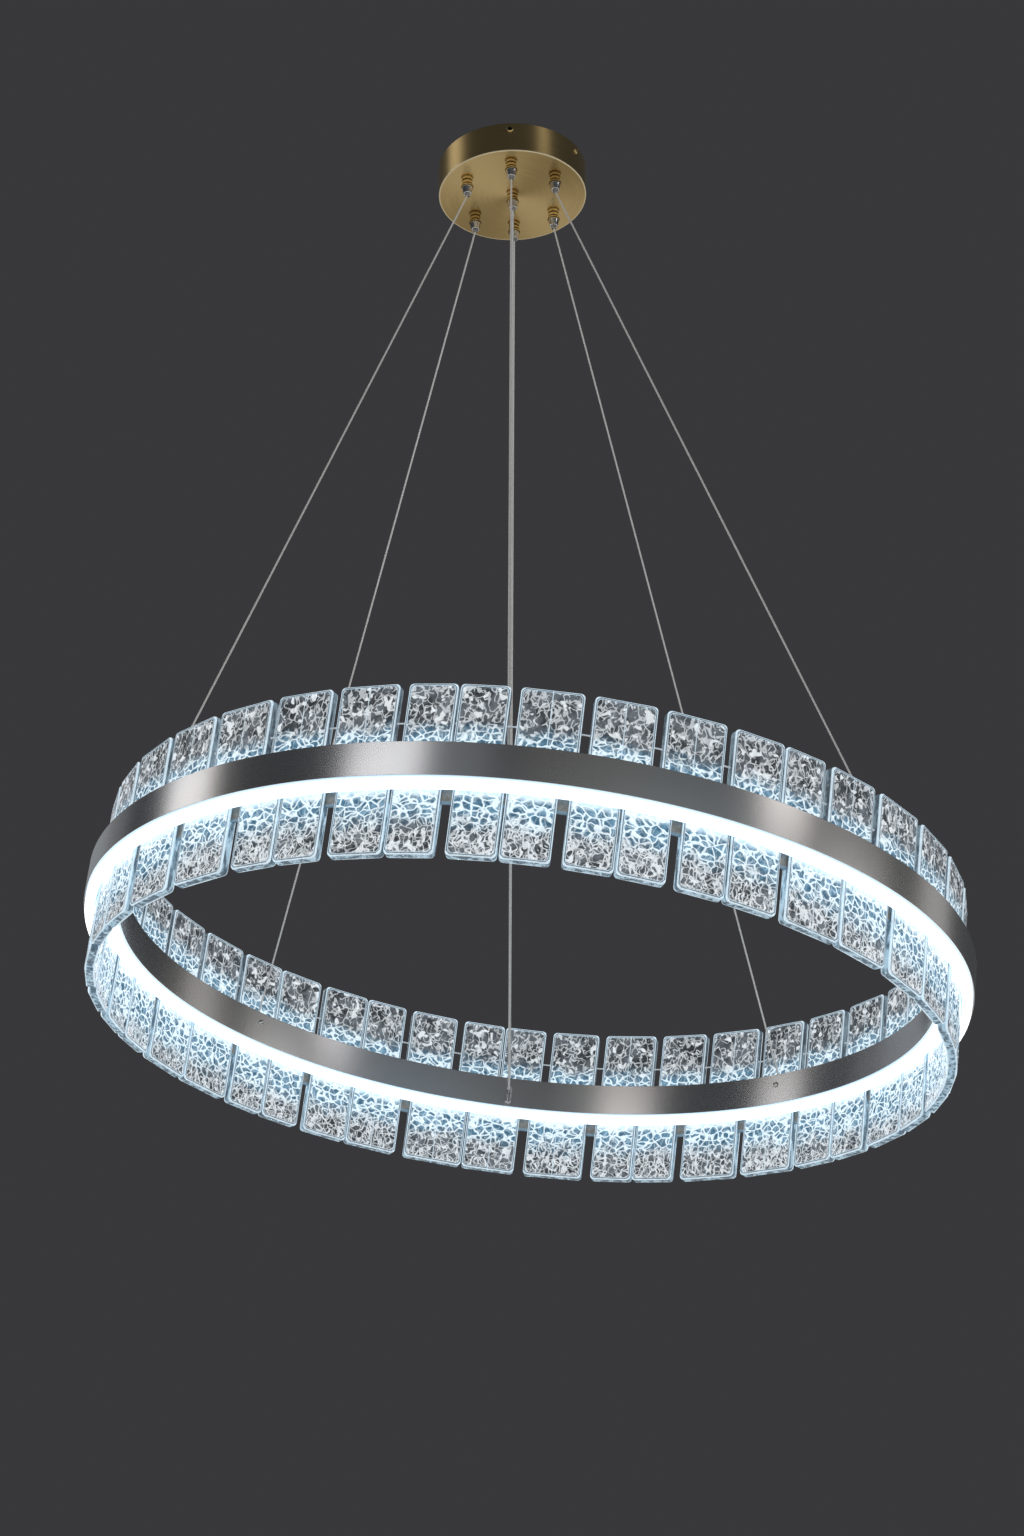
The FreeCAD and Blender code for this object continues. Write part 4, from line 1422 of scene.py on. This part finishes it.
# The clear rods glow faintly with painted light.
def link_paint(start):
    tone = cloud(surface_place(start), 500.0, 2.0)
    return {
        "Base Color": mixed(tone, LINK_SHADE, LINK_LIGHT),
        "Roughness": 0.15,
        "Transmission Weight": 0.3,
        "Emission Color": LINK_LIGHT,
        "Emission Strength": 0.15,
    }


upper_tiles = [tile for sector in row_sectors(UPPER_ROW) for tile in sector]
links = bmesh.new()
for number, (angle, letter) in enumerate(upper_tiles):
    next_angle, next_letter = upper_tiles[(number + 1) % len(upper_tiles)]
    half_span = span(TILE_WIDTHS[letter]) / 2
    next_half_span = span(TILE_WIDTHS[next_letter]) / 2
    turn = (next_angle - angle) % 360.0
    start_point = on_circle(MID_RADIUS, angle + half_span, LINK_LEVEL)
    end_point = on_circle(MID_RADIUS, angle + turn - next_half_span, LINK_LEVEL)
    along = end_point - start_point
    rod = link_form(max(along.length - LINK_PLAY, LEAST_LINK))
    lay = along.to_track_quat("Z", "X").to_matrix().to_4x4()
    joined(links, rod, RING_PLACE @ Matrix.Translation((start_point + end_point) / 2) @ lay)
piece("glass_links", links, finish("clear_rod", link_paint), "ring", "clear_link", "tile_links")

# ------------------------ cable anchors
# Small nickel blocks stand on the inner web between the band and the tiles. Each takes a
# cable's end in its flared mouth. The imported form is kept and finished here.

dress("cable_anchors", finish("anchor_nickel", metal(NOSE_BRIGHT, NICKEL_BRIGHT, 0.2)))

# ------------------------ anchor screws
# A pan-headed socket screw of nickel-plated steel passes through the inner band into each
# anchor and holds it down.

ANCHOR_SCREW_LEVEL = 19.5
ANCHOR_HEAD_RADIUS = 2.9
ANCHOR_HEAD_HEIGHT = 1.9
ANCHOR_SHANK_RADIUS = 1.5
ANCHOR_SCREW_LENGTH = 6.6
ANCHOR_SOCKET_RADIUS = 1.4
ANCHOR_SCREW_PLAY = 0.05
outward = Matrix.Rotation(math.radians(90), 4, "Y")
anchor_seat = (
    Matrix.Translation((INNER_RADIUS - ANCHOR_SCREW_PLAY, 0, ANCHOR_SCREW_LEVEL)) @ outward
)
anchor_screws = repeated(
    button_screw(
        ANCHOR_HEAD_RADIUS,
        ANCHOR_HEAD_HEIGHT,
        ANCHOR_SHANK_RADIUS,
        ANCHOR_SCREW_LENGTH,
        ANCHOR_SOCKET_RADIUS,
    ),
    [RING_PLACE @ turned(angle) @ anchor_seat for angle in ANCHOR_ANGLES],
)
piece("anchor_heads", anchor_screws, nickel, "ring", "screw_steel", "anchor_screws")

# ------------------------ power inlet
# A small nickel barrel stands on the inner face of the inner band, under an anchor screw.
# The cord drops into its mouth, and its stub carries the wires through the band.

INLET_BEVEL = 1.4
INLET_MOUTH_RADIUS = 2.5
INLET_THROAT_RADIUS = 1.5
INLET_MOUTH_DEPTH = 3.2
INLET_GROOVE_DEPTH = 0.3
# The groove's two lips and floor, as depths below the barrel's top
INLET_GROOVE = (3.0, 2.7, 2.3, 2.0)
INLET_EDGE = 0.1
STUB_STEPS = 24
STUB_RADIUS = 2.0
STUB_RISE = 3.5
inlet_top = INLET_LEVEL + INLET_HEIGHT
inlet_outline = [
    (0, INLET_LEVEL),
    (INLET_RADIUS - INLET_BEVEL, INLET_LEVEL),
    (INLET_RADIUS, INLET_LEVEL + INLET_BEVEL),
    *groove_outline(INLET_RADIUS, INLET_GROOVE_DEPTH, [inlet_top - down for down in INLET_GROOVE]),
    (INLET_RADIUS, inlet_top),
    (INLET_MOUTH_RADIUS, inlet_top),
    (INLET_THROAT_RADIUS, inlet_top - INLET_MOUTH_DEPTH),
    (0, inlet_top - INLET_MOUTH_DEPTH),
]
stub_length = INNER_RADIUS + BAND_WALL - INLET_PLACE
stub_outline = [(0, 0), (STUB_RADIUS, 0), (STUB_RADIUS, stub_length), (0, stub_length)]
inlet = eased(spun(inlet_outline, SMALL_STEPS), INLET_EDGE, 2)
stub_seat = Matrix.Translation((0, 0, INLET_LEVEL + STUB_RISE)) @ outward
joined(inlet, spun(stub_outline, STUB_STEPS), stub_seat)
inlet.transform(RING_PLACE @ turned(INLET_ANGLE) @ Matrix.Translation((INLET_PLACE, 0, 0)))
piece("inlet_barrel", inlet, nose_finish, "ring", "nickel_dark", "power_inlet")
